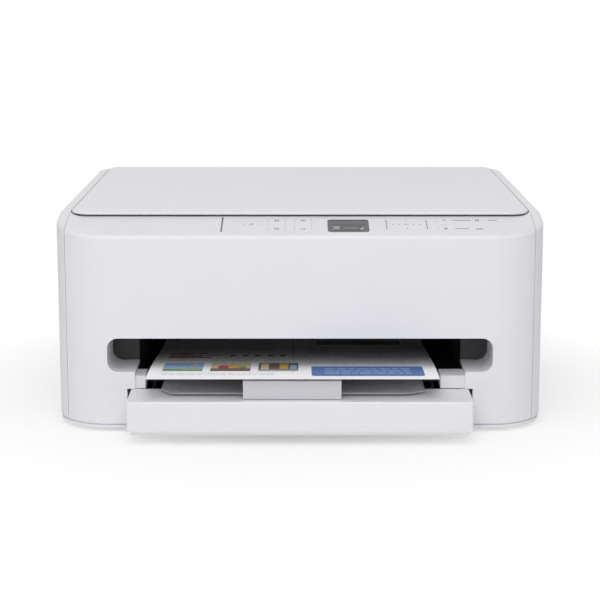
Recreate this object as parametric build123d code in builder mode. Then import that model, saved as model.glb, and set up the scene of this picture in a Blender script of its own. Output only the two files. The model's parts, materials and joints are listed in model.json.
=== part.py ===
"""Compact inkjet multifunction printer with a flatbed scanner, in millimetres.

X runs to the right as seen from the front, Y to the back and Z up. The origin is on the surface
the printer stands on, midway between the drawn-out cassette's front and the back of the casing.
"""

from build123d import *
from math import cos, pi, radians, sin, tan
import os

# Casing
body_width = 372.0
body_depth = 358.0
foot_height = 3.0
rim_top = 160.9
lid_top = 162.0
front_corner_radius = 42.0
rear_corner_radius = 30.0
casing_bottom = 5.2
wall = 2.8
top_edge_radius = 3.4
bottom_edge_radius = 2.0
seam_x = 177.4
seam_half_gap = 0.12

# Control shelf, which slopes down to the front
shelf_front_z = 150.24
shelf_rise_angle = 10.15
shelf_rear_depth = 43.7

# Paper opening in the fascia
recess_half_width = 145.2
recess_bottom = 46.4
recess_top = 72.2
recess_radius = 8.0
recess_depth = 43.0
slot_half_width = 124.5
slot_bottom = 33.4
drawer_opening_half_width = 130.5
drawer_return_bottom = 10.4

# Cassette, output tray and sheet
drawer_reach = 40.0
drawer_half_width = 127.8
drawer_top = 33.0
drawer_bottom = 10.0
deck_window_depth = 1.5
tray_half_width = 98.75
paper_centre_x = -5.4
sheet_width = 215.9
sheet_length = 279.4
sheet_thickness = 0.5
sheet_flat_end = 168.0
sheet_bend_start = 120.0
sheet_crest = 50.0
sheet_rise = 0.097
sheet_droop = 0.00083
sheet_front = -(drawer_reach - 1)
sheet_back = sheet_front + sheet_length - 0.2

# Running clearances
shaft_play = 0.06
cover_play = 0.1
key_play = 0.12
slide_play = 0.3

front = -(body_depth - drawer_reach) / 2
back = front + body_depth
body_middle_y = (front + back) / 2
half_width = body_width / 2
shelf_slope = tan(radians(shelf_rise_angle))

# Print engine
frame_x = 134.0
frame_wall = 3.0
tower_x = 168.0
platen_top = 73.0
feed_roller_depth = 236.0
eject_roller_depth = 142.0
roller_z = 71.0
feed_roller_radius = 6.0
eject_roller_radius = 5.0
gear_left_x = -160.0
gear_width = 5.0
end_gear_radius = 16.0
motor_pinion_radius = 4.0
idler_depth = (feed_roller_depth + eject_roller_depth) / 2
idler_radius = (feed_roller_depth - eject_roller_depth) / 2 - end_gear_radius
rail_depth = 226.0
belt_z = 104.0
pulley_radius = 5.0
pulley_x = 150.0
carriage_centre_x = 131.0
carriage_half_width = 35.0

# Scanner unit
scanner_bottom = 127.5
scanner_half_width = 174.8
bed_bottom = 152.5
bed_top = 158.3
scanner_rear_depth = body_depth - 9
scanner_axis_depth = scanner_rear_depth - 2
scanner_axis_z = 126.5
cover_axis_depth = scanner_rear_depth - 2.8
cover_axis_z = 155.3
hinge_depth = (scanner_rear_depth - 4.8, scanner_rear_depth - 1.2)
lid_bottom = 159.8
lid_half_width = seam_x - 0.7

# Control board, keys, window and status light, as places (x, depth) and sizes on the shelf
board_top = 139.6
rocker_names = ("left_rocker", "middle_rocker", "right_rocker")
rockers = ((-17.6, 25.5, 13.0, 30.0), (2.2, 25.5, 13.0, 30.0), (109.8, 25.8, 14.0, 30.0))
power_place = (-36.8, 25.9)
power_radius = 6.5
pad_place = (80.5, 26.3)
key_thickness = 2.6
key_pin_radius = 0.7
key_pin_length = 1.3
pad_radius = 14.0
ok_radius = 4.8
window_place = (36.45, 23.2)
window_size = (31.3, 30.0)
window_corner = 3.0
light_place = (-59.05, 25.8)
light_size = (1.3, 35.0)

# Back of the casing
rear_cover_top = 126.0
rear_opening_x = (-118.0, 118.0)
rear_opening_z = (14.0, 112.0)
access_axis_depth = body_depth - 2.4
access_axis_z = 16.6
hinge_pin_radius = 1.6
hinge_lug_radius = 2.7
electronics_end = body_depth - 13

# Paper path
cassette_floor = 7.5
pick_axis_depth = 262.0
pick_axis_z = 40.0
pick_roller_depth = 228.0
pick_roller_radius = 7.5
pick_roller_z = cassette_floor + 2.2 + pick_roller_radius
turn_depth = body_depth - 58
turn_z = 49.0
turn_radius = 26.0
tray_bottom = 34.3
tray_top = 35.5
stop_axis_depth = -29.6
stop_axis_z = 37.6
stop_top = 47.4
stop_lip = 1.0
guide_depth = 108.0
guide_pinion_radius = 8.0

cartridge_middles = (carriage_centre_x - 16.5, carriage_centre_x + 16.5)
lever_axis_depth = 147.3
lever_axis_z = 98.0
star_wheel_z = roller_z + eject_roller_radius + 3.5
feed_motor_place = (246.0, 53.7)
ear_middles = (-33.5, 22.5)
glass_top = 155.5
scan_rod_depth = 182.0
scan_rod_z = 133.5
screw_places = [(side * 155, depth) for side in (-1, 1) for depth in (70, 120, 258)]

shelf_plane = Plane(
    origin=(0, front, shelf_front_z),
    x_dir=(1, 0, 0),
    z_dir=(0, -sin(radians(shelf_rise_angle)), cos(radians(shelf_rise_angle))),
)

os.makedirs("parts", exist_ok=True)


def save(piece, name):
    """Labels a finished piece and writes it as one STEP file."""
    piece.part.label = name
    export_step(piece.part, f"parts/{name}.step")


def block(x, depth, z, mode=Mode.ADD):
    """A block between two limits on each axis, with depths counted from the front face."""
    with BuildSketch(Plane.XY.offset(z[0])) as base:
        with Locations(((x[0] + x[1]) / 2, front + (depth[0] + depth[1]) / 2)):
            Rectangle(x[1] - x[0], depth[1] - depth[0])
    extrude(base.sketch, amount=z[1] - z[0], mode=mode)


def along_x(x, depth, z, radius, mode=Mode.ADD):
    """A round bar along X between two X limits."""
    with BuildSketch(Plane.YZ.offset(x[0])) as section:
        with Locations((front + depth, z)):
            Circle(radius)
    extrude(section.sketch, amount=x[1] - x[0], mode=mode)


def along_y(x, depth, z, radius, mode=Mode.ADD):
    """A round bar along Y between two depths."""
    with BuildSketch(Plane.XZ.offset(-(front + depth[0]))) as section:
        with Locations((x, z)):
            Circle(radius)
    extrude(section.sketch, amount=-(depth[1] - depth[0]), mode=mode)


def along_z(x, depth, z, radius, mode=Mode.ADD):
    """A round bar along Z between two heights."""
    with BuildSketch(Plane.XY.offset(z[0])) as section:
        with Locations((x, front + depth)):
            Circle(radius)
    extrude(section.sketch, amount=z[1] - z[0], mode=mode)


def profile(x, points, mode=Mode.ADD):
    """A side profile of (depth, z) points, drawn out between two X limits."""
    with BuildSketch(Plane.YZ.offset(x[0])) as section:
        with BuildLine():
            Polyline([(front + depth, z) for depth, z in points], close=True)
        make_face()
    extrude(section.sketch, amount=x[1] - x[0], mode=mode)


def gear(x, depth, z, radius, teeth, bore=0.0):
    """A spur gear with short teeth on an axle along X."""
    tooth_depth = 1.2
    with BuildSketch(Plane.YZ.offset(x[0])) as section:
        with Locations((front + depth, z)):
            Circle(radius - tooth_depth)
            with PolarLocations(radius - tooth_depth / 2 - 0.2, teeth):
                Rectangle(tooth_depth + 0.4, pi * radius / teeth)
            if bore > 0:
                Circle(bore, mode=Mode.SUBTRACT)
    extrude(section.sketch, amount=x[1] - x[0])


def casing_outline(height, inset=0.0):
    """The plan outline of the casing, drawn in by an inset."""
    with BuildSketch(Plane.XY.offset(height)) as outline:
        with Locations((0, body_middle_y)):
            Rectangle(body_width - 2 * inset, body_depth - 2 * inset)
        fillet(outline.vertices().group_by(Axis.Y)[0], front_corner_radius - inset)
        fillet(outline.vertices().group_by(Axis.Y)[-1], rear_corner_radius - inset)
    return outline.sketch


def flat_form(inset, bottom):
    """The casing's form under its flat rim, with a rounded top edge."""
    with BuildPart() as form:
        extrude(casing_outline(bottom, inset), amount=rim_top - inset - bottom)
        fillet(form.faces().sort_by(Axis.Z)[-1].edges(), top_edge_radius - inset)
        if inset == 0:
            fillet(form.faces().sort_by(Axis.Z)[0].edges(), bottom_edge_radius)
    return form.part


def casing_form(inset, bottom):
    """The casing's outer form with its sloping front shelf, drawn in by an inset."""
    reach = body_depth + 20
    start = shelf_front_z - inset
    with BuildPart() as form:
        extrude(casing_outline(bottom, inset), amount=rim_top + reach * shelf_slope)
        slope = [(-5, start - 5 * shelf_slope), (reach, start + reach * shelf_slope), (reach, 400), (-5, 400)]
        profile((-half_width - 1, half_width + 1), slope, mode=Mode.SUBTRACT)
        fillet(form.faces().sort_by(Axis.Z)[-1].edges(), top_edge_radius - inset)
        add(flat_form(inset, bottom), mode=Mode.INTERSECT)
    return form.part


def casing_shell():
    """The whole shell of the covers, open at the bottom, before it is split into its pieces."""
    with BuildPart() as shell:
        add(casing_form(0, casing_bottom))
        add(casing_form(wall, casing_bottom - 1), mode=Mode.SUBTRACT)
    return shell.part


def on_shelf(depth):
    """How far up the shelf's own plane a depth lies."""
    return depth / cos(radians(shelf_rise_angle))


def shelf_height(depth):
    """The height of the shelf's surface at a depth."""
    return shelf_front_z + depth * shelf_slope


def shelf_pad(x, depth, width, length, corner, below, above=0.0, mode=Mode.ADD):
    """A rounded rectangle on the shelf's surface, taken down and up square to it."""
    with BuildSketch(shelf_plane.offset(-below)) as pad:
        with Locations((x, on_shelf(depth))):
            RectangleRounded(width, length, corner)
    extrude(pad.sketch, amount=below + above, mode=mode)


def shelf_disc(x, depth, radius, below, above=0.0, mode=Mode.ADD):
    """A disc on the shelf's surface, taken down and up square to it."""
    with BuildSketch(shelf_plane.offset(-below)) as disc:
        with Locations((x, on_shelf(depth))):
            Circle(radius)
    extrude(disc.sketch, amount=below + above, mode=mode)


def make_base_tray():
    """The floor pan, with a rim inside the covers and two runners for the cassette."""
    rim_height = 4.8
    rim_thickness = 2.2
    runner_x = 80.0
    with BuildPart() as base_tray:
        extrude(casing_outline(foot_height, 0.6), amount=casing_bottom - foot_height)
        extrude(casing_outline(casing_bottom, wall + cover_play), amount=rim_height)
        extrude(casing_outline(casing_bottom, wall + rim_thickness), amount=rim_height, mode=Mode.SUBTRACT)
        opening = drawer_opening_half_width + 0.5
        block((-opening, opening), (-1, 30), (casing_bottom, 12), mode=Mode.SUBTRACT)
        for x in (-runner_x, runner_x):
            block((x - 3, x + 3), (12, body_depth - 68), (casing_bottom, cassette_floor - 0.1))
        for x, depth in screw_places:
            along_z(x, depth, (2, 6), 1.7, mode=Mode.SUBTRACT)
    save(base_tray, "base_tray")


def make_rubber_feet():
    """Four round feet under the corners."""
    with BuildPart() as rubber_feet:
        for x in (-150, 150):
            for depth in (30, body_depth - 33):
                along_z(x, depth, (0, foot_height), 8)
        fillet(rubber_feet.faces().group_by(Axis.Z)[0].edges(), 0.8)
    save(rubber_feet, "rubber_feet")


def make_side_covers(shell):
    """The two tall side covers, outside the seams, each with its part of the rim."""
    whole_depth = (-5, body_depth + 5)
    with BuildPart() as left_side_cover:
        add(shell)
        block((-half_width - 5, -seam_x - seam_half_gap), whole_depth, (0, 200), mode=Mode.INTERSECT)
    save(left_side_cover, "left_side_cover")
    with BuildPart() as right_side_cover:
        add(shell)
        block((seam_x + seam_half_gap, half_width + 5), whole_depth, (0, 200), mode=Mode.INTERSECT)
    save(right_side_cover, "right_side_cover")


def key_pin(x, depth, width, extra=0.0, mode=Mode.ADD):
    """The pivot pins of a key, at half its thickness and out of both its sides."""
    slope = radians(shelf_rise_angle)
    below = key_thickness / 2
    reach = width / 2 + key_pin_length + extra
    pin_z = shelf_height(depth) - below * cos(slope)
    along_x((x - reach, x + reach), depth + below * sin(slope), pin_z, key_pin_radius + extra, mode=mode)


def cut_key_openings():
    """Cuts the openings of the keys, the window and the status light into the shelf."""
    for x, depth, width, length in rockers:
        shelf_pad(x, depth, width + 2 * key_play, length + 2 * key_play, 3, 6, 2, mode=Mode.SUBTRACT)
        key_pin(x, depth, width, shaft_play, mode=Mode.SUBTRACT)
    shelf_disc(*power_place, power_radius + key_play, 6, 2, mode=Mode.SUBTRACT)
    shelf_disc(*pad_place, pad_radius + key_play, 6, 2, mode=Mode.SUBTRACT)
    key_pin(*pad_place, 2 * pad_radius, shaft_play, mode=Mode.SUBTRACT)
    shelf_pad(*window_place, *window_size, window_corner, 6, 2, mode=Mode.SUBTRACT)
    shelf_pad(*light_place, *light_size, 0.4, 1.5, 2, mode=Mode.SUBTRACT)


def make_front_fascia(shell):
    """The front panel with the control shelf, the paper opening and its return walls."""
    flange = 2.2
    edge = seam_x - seam_half_gap
    recess_middle = (recess_top + recess_bottom) / 2
    recess_height = recess_top - recess_bottom
    pocket_radius = 16.0
    with BuildPart() as front_fascia:
        add(shell)
        block((-edge, edge), (-5, shelf_rear_depth + pocket_radius), (0, 200), mode=Mode.INTERSECT)
        with BuildSketch(Plane.XY.offset(140)) as pocket:
            with Locations((0, front + shelf_rear_depth + 100)):
                RectangleRounded(2 * edge, 200, pocket_radius)
        extrude(pocket.sketch, amount=60, mode=Mode.SUBTRACT)
        skirt = [(41.2, 148), (shelf_rear_depth, 148), (shelf_rear_depth, 157.6), (41.2, 157.2)]
        profile((-160, 160), skirt)
        with BuildSketch(Plane.XZ.offset(-(front + 1))) as flange_outline:
            with Locations((0, recess_middle)):
                RectangleRounded(2 * (recess_half_width + flange), recess_height + 2 * flange, recess_radius)
        extrude(flange_outline.sketch, amount=-(recess_depth - 1))
        block((-slot_half_width - flange, slot_half_width + flange), (1, 25), (slot_bottom, recess_bottom))
        with BuildSketch(Plane.XZ.offset(-(front - 2))) as recess:
            with Locations((0, recess_middle)):
                RectangleRounded(2 * recess_half_width, recess_height, recess_radius)
        extrude(recess.sketch, amount=-60, mode=Mode.SUBTRACT)
        drawer = drawer_opening_half_width
        block((-drawer - flange, drawer + flange), (1, 25), (drawer_return_bottom, slot_bottom + 1))
        block((-slot_half_width, slot_half_width), (-5, 60), (slot_bottom, recess_bottom + 5), mode=Mode.SUBTRACT)
        block((-drawer, drawer), (-5, 60), (0, slot_bottom), mode=Mode.SUBTRACT)
        for x in ((-slot_half_width, -116.7), (106.1, slot_half_width)):
            block(x, (2.0, 25), (slot_bottom, 43.1))
        for x in (-50, 145):
            for depth in (17, 37):
                along_z(x, depth, (board_top, shelf_height(depth) - 2), 2.5)
        cut_key_openings()
    save(front_fascia, "front_fascia")


def make_rear_cover(shell):
    """The lower back panel, with the opening for paper jams and the ears of the scanner hinge."""
    edge = seam_x - seam_half_gap
    rear_cut = (body_depth - 18, body_depth + 7)
    ear_front = scanner_axis_depth - hinge_lug_radius
    with BuildPart() as rear_cover:
        add(shell)
        panel = (scanner_rear_depth, body_depth + 5)
        block((-edge, edge), panel, (0, rear_cover_top), mode=Mode.INTERSECT)
        extrude(casing_outline(rear_cover_top - 2.5, 1), amount=2.5)
        inner = scanner_rear_depth + 0.7
        block((-edge, edge), (inner, body_depth + 5), (0, rear_cover_top), mode=Mode.INTERSECT)
        block(rear_opening_x, rear_cut, rear_opening_z, mode=Mode.SUBTRACT)
        for x in (-140, 140):
            block((x - 4, x + 4), (ear_front, inner + 6), (108, rear_cover_top - 2.5))
            block((x - 4, x + 4), (ear_front, inner), (108, scanner_axis_z))
            along_x((x - 4, x + 4), scanner_axis_depth, scanner_axis_z, hinge_lug_radius)
            along_x((x - 10, x + 10), scanner_axis_depth, scanner_axis_z, hinge_pin_radius)
        for x in (rear_opening_x[0] - 3, rear_opening_x[1] + 3):
            block((x - 3, x + 3), (body_depth - 7, body_depth - wall + 0.5), (11, 22))
        pin_x = (rear_opening_x[0] - 4, rear_opening_x[1] + 4)
        along_x(pin_x, access_axis_depth, access_axis_z, 1.5 + shaft_play, mode=Mode.SUBTRACT)
        block((-156.2, -136.8), rear_cut, (27.8, 40.2), mode=Mode.SUBTRACT)
        block((141.8, 154.2), rear_cut, (29.8, 41.2), mode=Mode.SUBTRACT)
    save(rear_cover, "rear_cover")


def make_rear_access_cover():
    """The door in the back for clearing jams, which carries the outer half of the paper turn."""
    gap = 0.4
    x = (rear_opening_x[0] + gap, rear_opening_x[1] - gap)
    bottom = rear_opening_z[0] + gap
    top = rear_opening_z[1] - gap
    with BuildPart() as rear_access_cover:
        block(x, (body_depth - 2.5, body_depth), (bottom + 2.6, top))
        along_x(x, access_axis_depth, access_axis_z, 2.2)
        along_x((x[0] - 3.4, x[1] + 3.4), access_axis_depth, access_axis_z, 1.5)
        for rib_x in range(-100, 101, 25):
            block((rib_x - 1, rib_x + 1), (turn_depth + 28, body_depth - 2.4), (24, 74))
        along_x((x[0] - 1, x[1] + 1), turn_depth, turn_z, 29.5, mode=Mode.SUBTRACT)
        block((-16, 16), (body_depth - 1.2, body_depth + 1), (top - 10, top - 4), mode=Mode.SUBTRACT)
    save(rear_access_cover, "rear_access_cover")


def make_output_chute():
    """The black liner round the output space, with its front frame, side walls, roof and floor."""
    inner = slot_half_width + 0.1
    outer = inner + 2.5
    floor_bottom = 33.3
    floor_top = 34.1
    with BuildPart() as output_chute:
        block((-150, 150), (recess_depth, 45.5), (33.3, 78))
        block((-outer, outer), (45.5, 132), (floor_bottom, recess_top + 2))
        block((-outer, outer), (132, 245), (floor_bottom, 66))
        block((-inner, inner), (25.5, 132), (floor_top, recess_top), mode=Mode.SUBTRACT)
        block((-inner, inner), (132, 246), (floor_top, 67), mode=Mode.SUBTRACT)
        block((-inner, inner), (25.5, 46), (floor_bottom, floor_top))
        block((-32, 22), (205, 246), (30, 35), mode=Mode.SUBTRACT)
    save(output_chute, "output_chute")


def make_controls():
    """The display window, status light and control board under the shelf."""
    with BuildPart() as display_window:
        window_cap = (window_size[0] - cover_play, window_size[1] - cover_play)
        shelf_pad(*window_place, *window_cap, window_corner, 2.2, -0.1)
    save(display_window, "display_window")
    with BuildPart() as status_light:
        shelf_pad(*light_place, *light_size, 0.4, 1.5, -0.1)
    save(status_light, "status_light")
    with BuildPart() as control_board:
        block((-56, 151), (13, 40.5), (board_top - 1.6, board_top))
        for x, depth, width, length in rockers:
            for end in (-0.3 * length, 0.3 * length):
                along_z(x, depth + end, (board_top, board_top + 1.2), 2.5)
        for x, depth in (power_place, pad_place):
            along_z(x, depth, (board_top, board_top + 1.2), 2.5)
        block((21, 52), (15, 38), (board_top, board_top + 5))
    save(control_board, "control_board")


def key_stem(x, depth, radius):
    """A stem square to the shelf, from a key down to just above its switch."""
    reach = (shelf_height(depth) - board_top - 2.6) * cos(radians(shelf_rise_angle))
    shelf_disc(x, depth, radius, reach, -1)


def make_keys():
    """The rocker keys, the power button, the arrow pad and the button in its middle."""
    for name, (x, depth, width, length) in zip(rocker_names, rockers):
        with BuildPart() as rocker:
            shelf_pad(x, depth, width, length, 3, key_thickness)
            key_pin(x, depth, width)
            for end in (-0.3 * length, 0.3 * length):
                key_stem(x, depth + end, 1.5)
        save(rocker, name)
    with BuildPart() as power_button:
        shelf_disc(*power_place, power_radius, key_thickness)
        key_stem(*power_place, 1.5)
    save(power_button, "power_button")
    with BuildPart() as arrow_pad:
        shelf_disc(*pad_place, pad_radius, key_thickness)
        key_pin(*pad_place, 2 * pad_radius)
        shelf_disc(*pad_place, ok_radius + key_play, 6, 1, mode=Mode.SUBTRACT)
        for end in (-9, 9):
            key_stem(pad_place[0], pad_place[1] + end, 1.5)
    save(arrow_pad, "arrow_pad")
    with BuildPart() as ok_button:
        shelf_disc(*pad_place, ok_radius, key_thickness)
        key_stem(*pad_place, 1.5)
    save(ok_button, "ok_button")


def make_side_frames():
    """The two upright frames beside the cassette, each with a tower that carries the print engine."""
    for side, name in ((-1, "left_side_frame"), (1, "right_side_frame")):
        with BuildPart() as frame:
            inner = sorted((side * frame_x, side * (frame_x + frame_wall)))
            tower = sorted((side * tower_x, side * (tower_x + frame_wall)))
            web = sorted((side * frame_x, side * (tower_x + frame_wall)))
            block(inner, (48, body_depth - 20), (casing_bottom, 66))
            outline = [(136, casing_bottom), (250, casing_bottom), (250, 124), (205, 124), (205, 94), (136, 94)]
            profile(tower, outline)
            block(web, (136, 250), (casing_bottom, casing_bottom + 2))
            along_x(inner, pick_axis_depth, pick_axis_z, 3 + shaft_play, mode=Mode.SUBTRACT)
            if side < 0:
                along_x((-tower_x - 1, gear_left_x + gear_width + 1), idler_depth, roller_z, 3)
        save(frame, name)


def make_platen():
    """The plate under the print line, with its ribs and the bearings of the two rollers."""
    deck_x = (-125, 104)
    with BuildPart() as platen:
        block((-frame_x - frame_wall, frame_x + frame_wall), (132, 262), (66, 68.5))
        block(deck_x, (150, 226), (68.5, platen_top))
        for rib_x in range(-120, 104, 12):
            block((rib_x - 0.8, rib_x + 0.8), (150, 226), (platen_top, platen_top + 1))
        block((deck_x[1] + 0.5, 140), (150, 226), (65, 69), mode=Mode.SUBTRACT)
        block((-122, 112), (228, 244.5), (65, 69), mode=Mode.SUBTRACT)
        block((-122, 112), (135, 149), (65, 69), mode=Mode.SUBTRACT)
        for x in ((-134, -129), (121, 126)):
            block(x, (229, 243), (68.5, 79))
            block(x, (135.5, 148.5), (68.5, 76.5))
        along_x((-140, 140), feed_roller_depth, roller_z, 3 + shaft_play, mode=Mode.SUBTRACT)
        along_x((-140, 140), eject_roller_depth, roller_z, 2 + shaft_play, mode=Mode.SUBTRACT)
    save(platen, "platen")


def make_rollers_and_gears():
    """The feed and eject rollers with their end gears, the idler between them and the pinion."""
    gear_x = (gear_left_x, gear_left_x + gear_width)
    tip_gap = 0.05
    with BuildPart() as feed_roller:
        along_x((-164, 134), feed_roller_depth, roller_z, 3)
        along_x((-118, 107), feed_roller_depth, roller_z, feed_roller_radius)
        gear(gear_x, feed_roller_depth, roller_z, end_gear_radius - tip_gap, 32)
    save(feed_roller, "feed_roller")
    with BuildPart() as eject_roller:
        along_x((-164, 134), eject_roller_depth, roller_z, 2)
        for ring_x in range(-105, 96, 40):
            along_x((ring_x - 7, ring_x + 7), eject_roller_depth, roller_z, eject_roller_radius)
        gear(gear_x, eject_roller_depth, roller_z, end_gear_radius - tip_gap, 32)
    save(eject_roller, "eject_roller")
    with BuildPart() as idler_gear:
        gear(gear_x, idler_depth, roller_z, idler_radius - tip_gap, 62, bore=3 + shaft_play)
    save(idler_gear, "idler_gear")
    with BuildPart() as motor_pinion:
        gear(gear_x, *feed_motor_place, motor_pinion_radius - tip_gap, 8, bore=1 + shaft_play)
    save(motor_pinion, "motor_pinion")


def make_motors():
    """The motors of the paper feed and of the carriage, each with its shaft."""
    with BuildPart() as feed_motor:
        along_x((-153, -frame_x - frame_wall), *feed_motor_place, 13)
        along_x((gear_left_x - 1, -152), *feed_motor_place, 1)
    save(feed_motor, "feed_motor")
    with BuildPart() as carriage_motor:
        along_y(-pulley_x, (rail_depth + 1.6, 256), belt_z, 12)
        along_y(-pulley_x, (218, rail_depth + 2), belt_z, 1)
    save(carriage_motor, "carriage_motor")


def make_carriage_drive():
    """The bent steel rail of the carriage, the drive pulley and the toothed belt."""
    with BuildPart() as carriage_rail:
        bend = [(214, 124), (rail_depth + 1.6, 124), (rail_depth + 1.6, 90), (rail_depth, 90)]
        profile((-tower_x, tower_x), bend + [(rail_depth, 122.4), (214, 122.4)])
        along_y(-pulley_x, (220, 230), belt_z, 2.5, mode=Mode.SUBTRACT)
        along_y(pulley_x, (218.5, rail_depth + 0.5), belt_z, pulley_radius)
    save(carriage_rail, "carriage_rail")
    with BuildPart() as drive_pulley:
        along_y(-pulley_x, (219, 224), belt_z, pulley_radius)
        for depth in (218.4, 223.9):
            along_y(-pulley_x, (depth, depth + 0.7), belt_z, pulley_radius + 1.8)
        along_y(-pulley_x, (218, 225), belt_z, 1 + shaft_play, mode=Mode.SUBTRACT)
    save(drive_pulley, "drive_pulley")
    with BuildPart() as carriage_belt:
        with BuildSketch(Plane.XZ.offset(-(front + 219.4))) as loop:
            with Locations((0, belt_z)):
                SlotCenterToCenter(2 * pulley_x, 2 * pulley_radius + 2.4)
                SlotCenterToCenter(2 * pulley_x, 2 * pulley_radius + 0.2, mode=Mode.SUBTRACT)
        extrude(loop.sketch, amount=-4.2)
    save(carriage_belt, "carriage_belt")


def make_print_carriage():
    """The carriage that holds the two cartridges, with a jaw on the rail's upper edge."""
    x = (carriage_centre_x - carriage_half_width, carriage_centre_x + carriage_half_width)
    with BuildPart() as print_carriage:
        block(x, (150, 218), (77, 121))
        for middle in cartridge_middles:
            block((middle - 15.2, middle + 15.2), (153, 211), (80, 122), mode=Mode.SUBTRACT)
            block((middle - 9, middle + 9), (166, 194), (76, 81), mode=Mode.SUBTRACT)
            block((middle - 13.5, middle + 13.5), (149, 154), (109, 122), mode=Mode.SUBTRACT)
            for side in (-1, 1):
                ear = sorted((middle + side * 13.5, middle + side * 16))
                block(ear, (144.8, 151), (95.2, 100.8))
            along_x((middle - 14, middle + 14), lever_axis_depth, lever_axis_z, 1)
        block((x[0] + 6, x[1] - 6), (211, 218), (121, 126.6))
        block((x[0] - 1, x[1] + 1), (213.7, 219), (122.1, 124.3), mode=Mode.SUBTRACT)
        block((x[0] + 6, x[1] - 6), (144, 151), (89.3, 92.5))
    save(print_carriage, "print_carriage")
    for middle, name in zip(cartridge_middles, ("black_cartridge", "colour_cartridge")):
        with BuildPart() as cartridge:
            block((middle - 14.9, middle + 14.9), (153.4, 210.6), (80, 112.4))
            fillet(cartridge.edges().filter_by(Axis.Z), 2)
            fillet(cartridge.faces().sort_by(Axis.Z)[-1].edges(), 1)
            block((middle - 8, middle + 8), (168, 192), (77.6, 81))
        save(cartridge, name)
    for middle, name in zip(cartridge_middles, ("left_lock_lever", "right_lock_lever")):
        with BuildPart() as lever:
            block((middle - 13, middle + 13), (145.7, 148.7), (lever_axis_z, 115))
            block((middle - 13, middle + 13), (145.7, 156), (113, 115))
            along_x((middle - 13, middle + 13), lever_axis_depth, lever_axis_z, 2.3)
            along_x((middle - 14, middle + 14), lever_axis_depth, lever_axis_z, 1 + shaft_play, mode=Mode.SUBTRACT)
        save(lever, name)


def make_star_wheels():
    """The bar over the eject roller and the thin toothed wheels on their shaft under it."""
    with BuildPart() as spur_holder:
        block((-tower_x, tower_x), (137, 147), (84, 89))
        block((gear_left_x - 1.5, gear_left_x + gear_width + 1.5), (136, 148), (83, 87.4), mode=Mode.SUBTRACT)
        for x in ((-117, -113.5), (103.5, 107)):
            block(x, (139.5, 144.5), (77.4, 85))
        along_x((-120, 110), eject_roller_depth, star_wheel_z, 1 + shaft_play, mode=Mode.SUBTRACT)
    save(spur_holder, "spur_holder")
    with BuildPart() as spur_wheels:
        along_x((-117, 107), eject_roller_depth, star_wheel_z, 1)
        for wheel_x in range(-105, 96, 40):
            for side in (-4, 4):
                gear((wheel_x + side - 0.4, wheel_x + side + 0.4), eject_roller_depth, star_wheel_z, 3.4, 12)
    save(spur_wheels, "spur_wheels")


def make_purge_unit():
    """The parking station with a rubber-lipped cap under each cartridge."""
    with BuildPart() as purge_unit:
        block((104.8, tower_x), (152, 224), (66, 72))
        for middle in cartridge_middles:
            block((middle - 9.5, middle + 9.5), (166, 194), (72, 76.5))
            block((middle - 8, middle + 8), (167.5, 192.5), (74.5, 77), mode=Mode.SUBTRACT)
        block((161, 165), (156, 220), (71, 75))
    save(purge_unit, "purge_unit")


def make_pick_arm():
    """The swinging arm that lets the pick roller down on the paper, with its through shaft."""
    with BuildPart() as pick_arm:
        for x in ((-24, -21), (10, 13)):
            with BuildSketch(Plane.YZ.offset(x[0])) as cheek:
                with Locations((front + pick_axis_depth, pick_axis_z)):
                    Circle(4.8)
                with Locations((front + pick_roller_depth, pick_roller_z)):
                    Circle(3.6)
                make_hull()
            extrude(cheek.sketch, amount=x[1] - x[0])
        profile((-24, 13), [(243, 25.9), (256, 34.6), (255, 36.1), (242, 27.4)])
        along_x((-frame_x - 2.5, frame_x + 2.5), pick_axis_depth, pick_axis_z, 3)
        along_x((-24, 13), pick_roller_depth, pick_roller_z, 2)
    save(pick_arm, "pick_arm")
    with BuildPart() as pick_roller:
        along_x((-20.6, 9.6), pick_roller_depth, pick_roller_z, pick_roller_radius)
        fillet(pick_roller.edges(), 0.6)
        along_x((-22, 11), pick_roller_depth, pick_roller_z, 2 + shaft_play, mode=Mode.SUBTRACT)
    save(pick_roller, "pick_roller")


def make_rear_paper_guide():
    """The inner half of the paper turn, and the flat guide from it to the feed roller."""
    x = (-frame_x, frame_x)
    with BuildPart() as rear_paper_guide:
        along_x(x, turn_depth, turn_z, turn_radius)
        block((x[0] - 1, x[1] + 1), (260, turn_depth - 8), (0, 100), mode=Mode.SUBTRACT)
        with BuildSketch(Plane.YZ.offset(x[0] + 3)) as hollow:
            with Locations((front + turn_depth, turn_z)):
                Circle(turn_radius - 2.5)
            with Locations((front + turn_depth - 35.5, turn_z)):
                Rectangle(60, 80, mode=Mode.SUBTRACT)
        extrude(hollow.sketch, amount=x[1] - x[0] - 6, mode=Mode.SUBTRACT)
        block(x, (246, turn_depth), (turn_z + turn_radius - 2, turn_z + turn_radius))
    save(rear_paper_guide, "rear_paper_guide")


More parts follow.
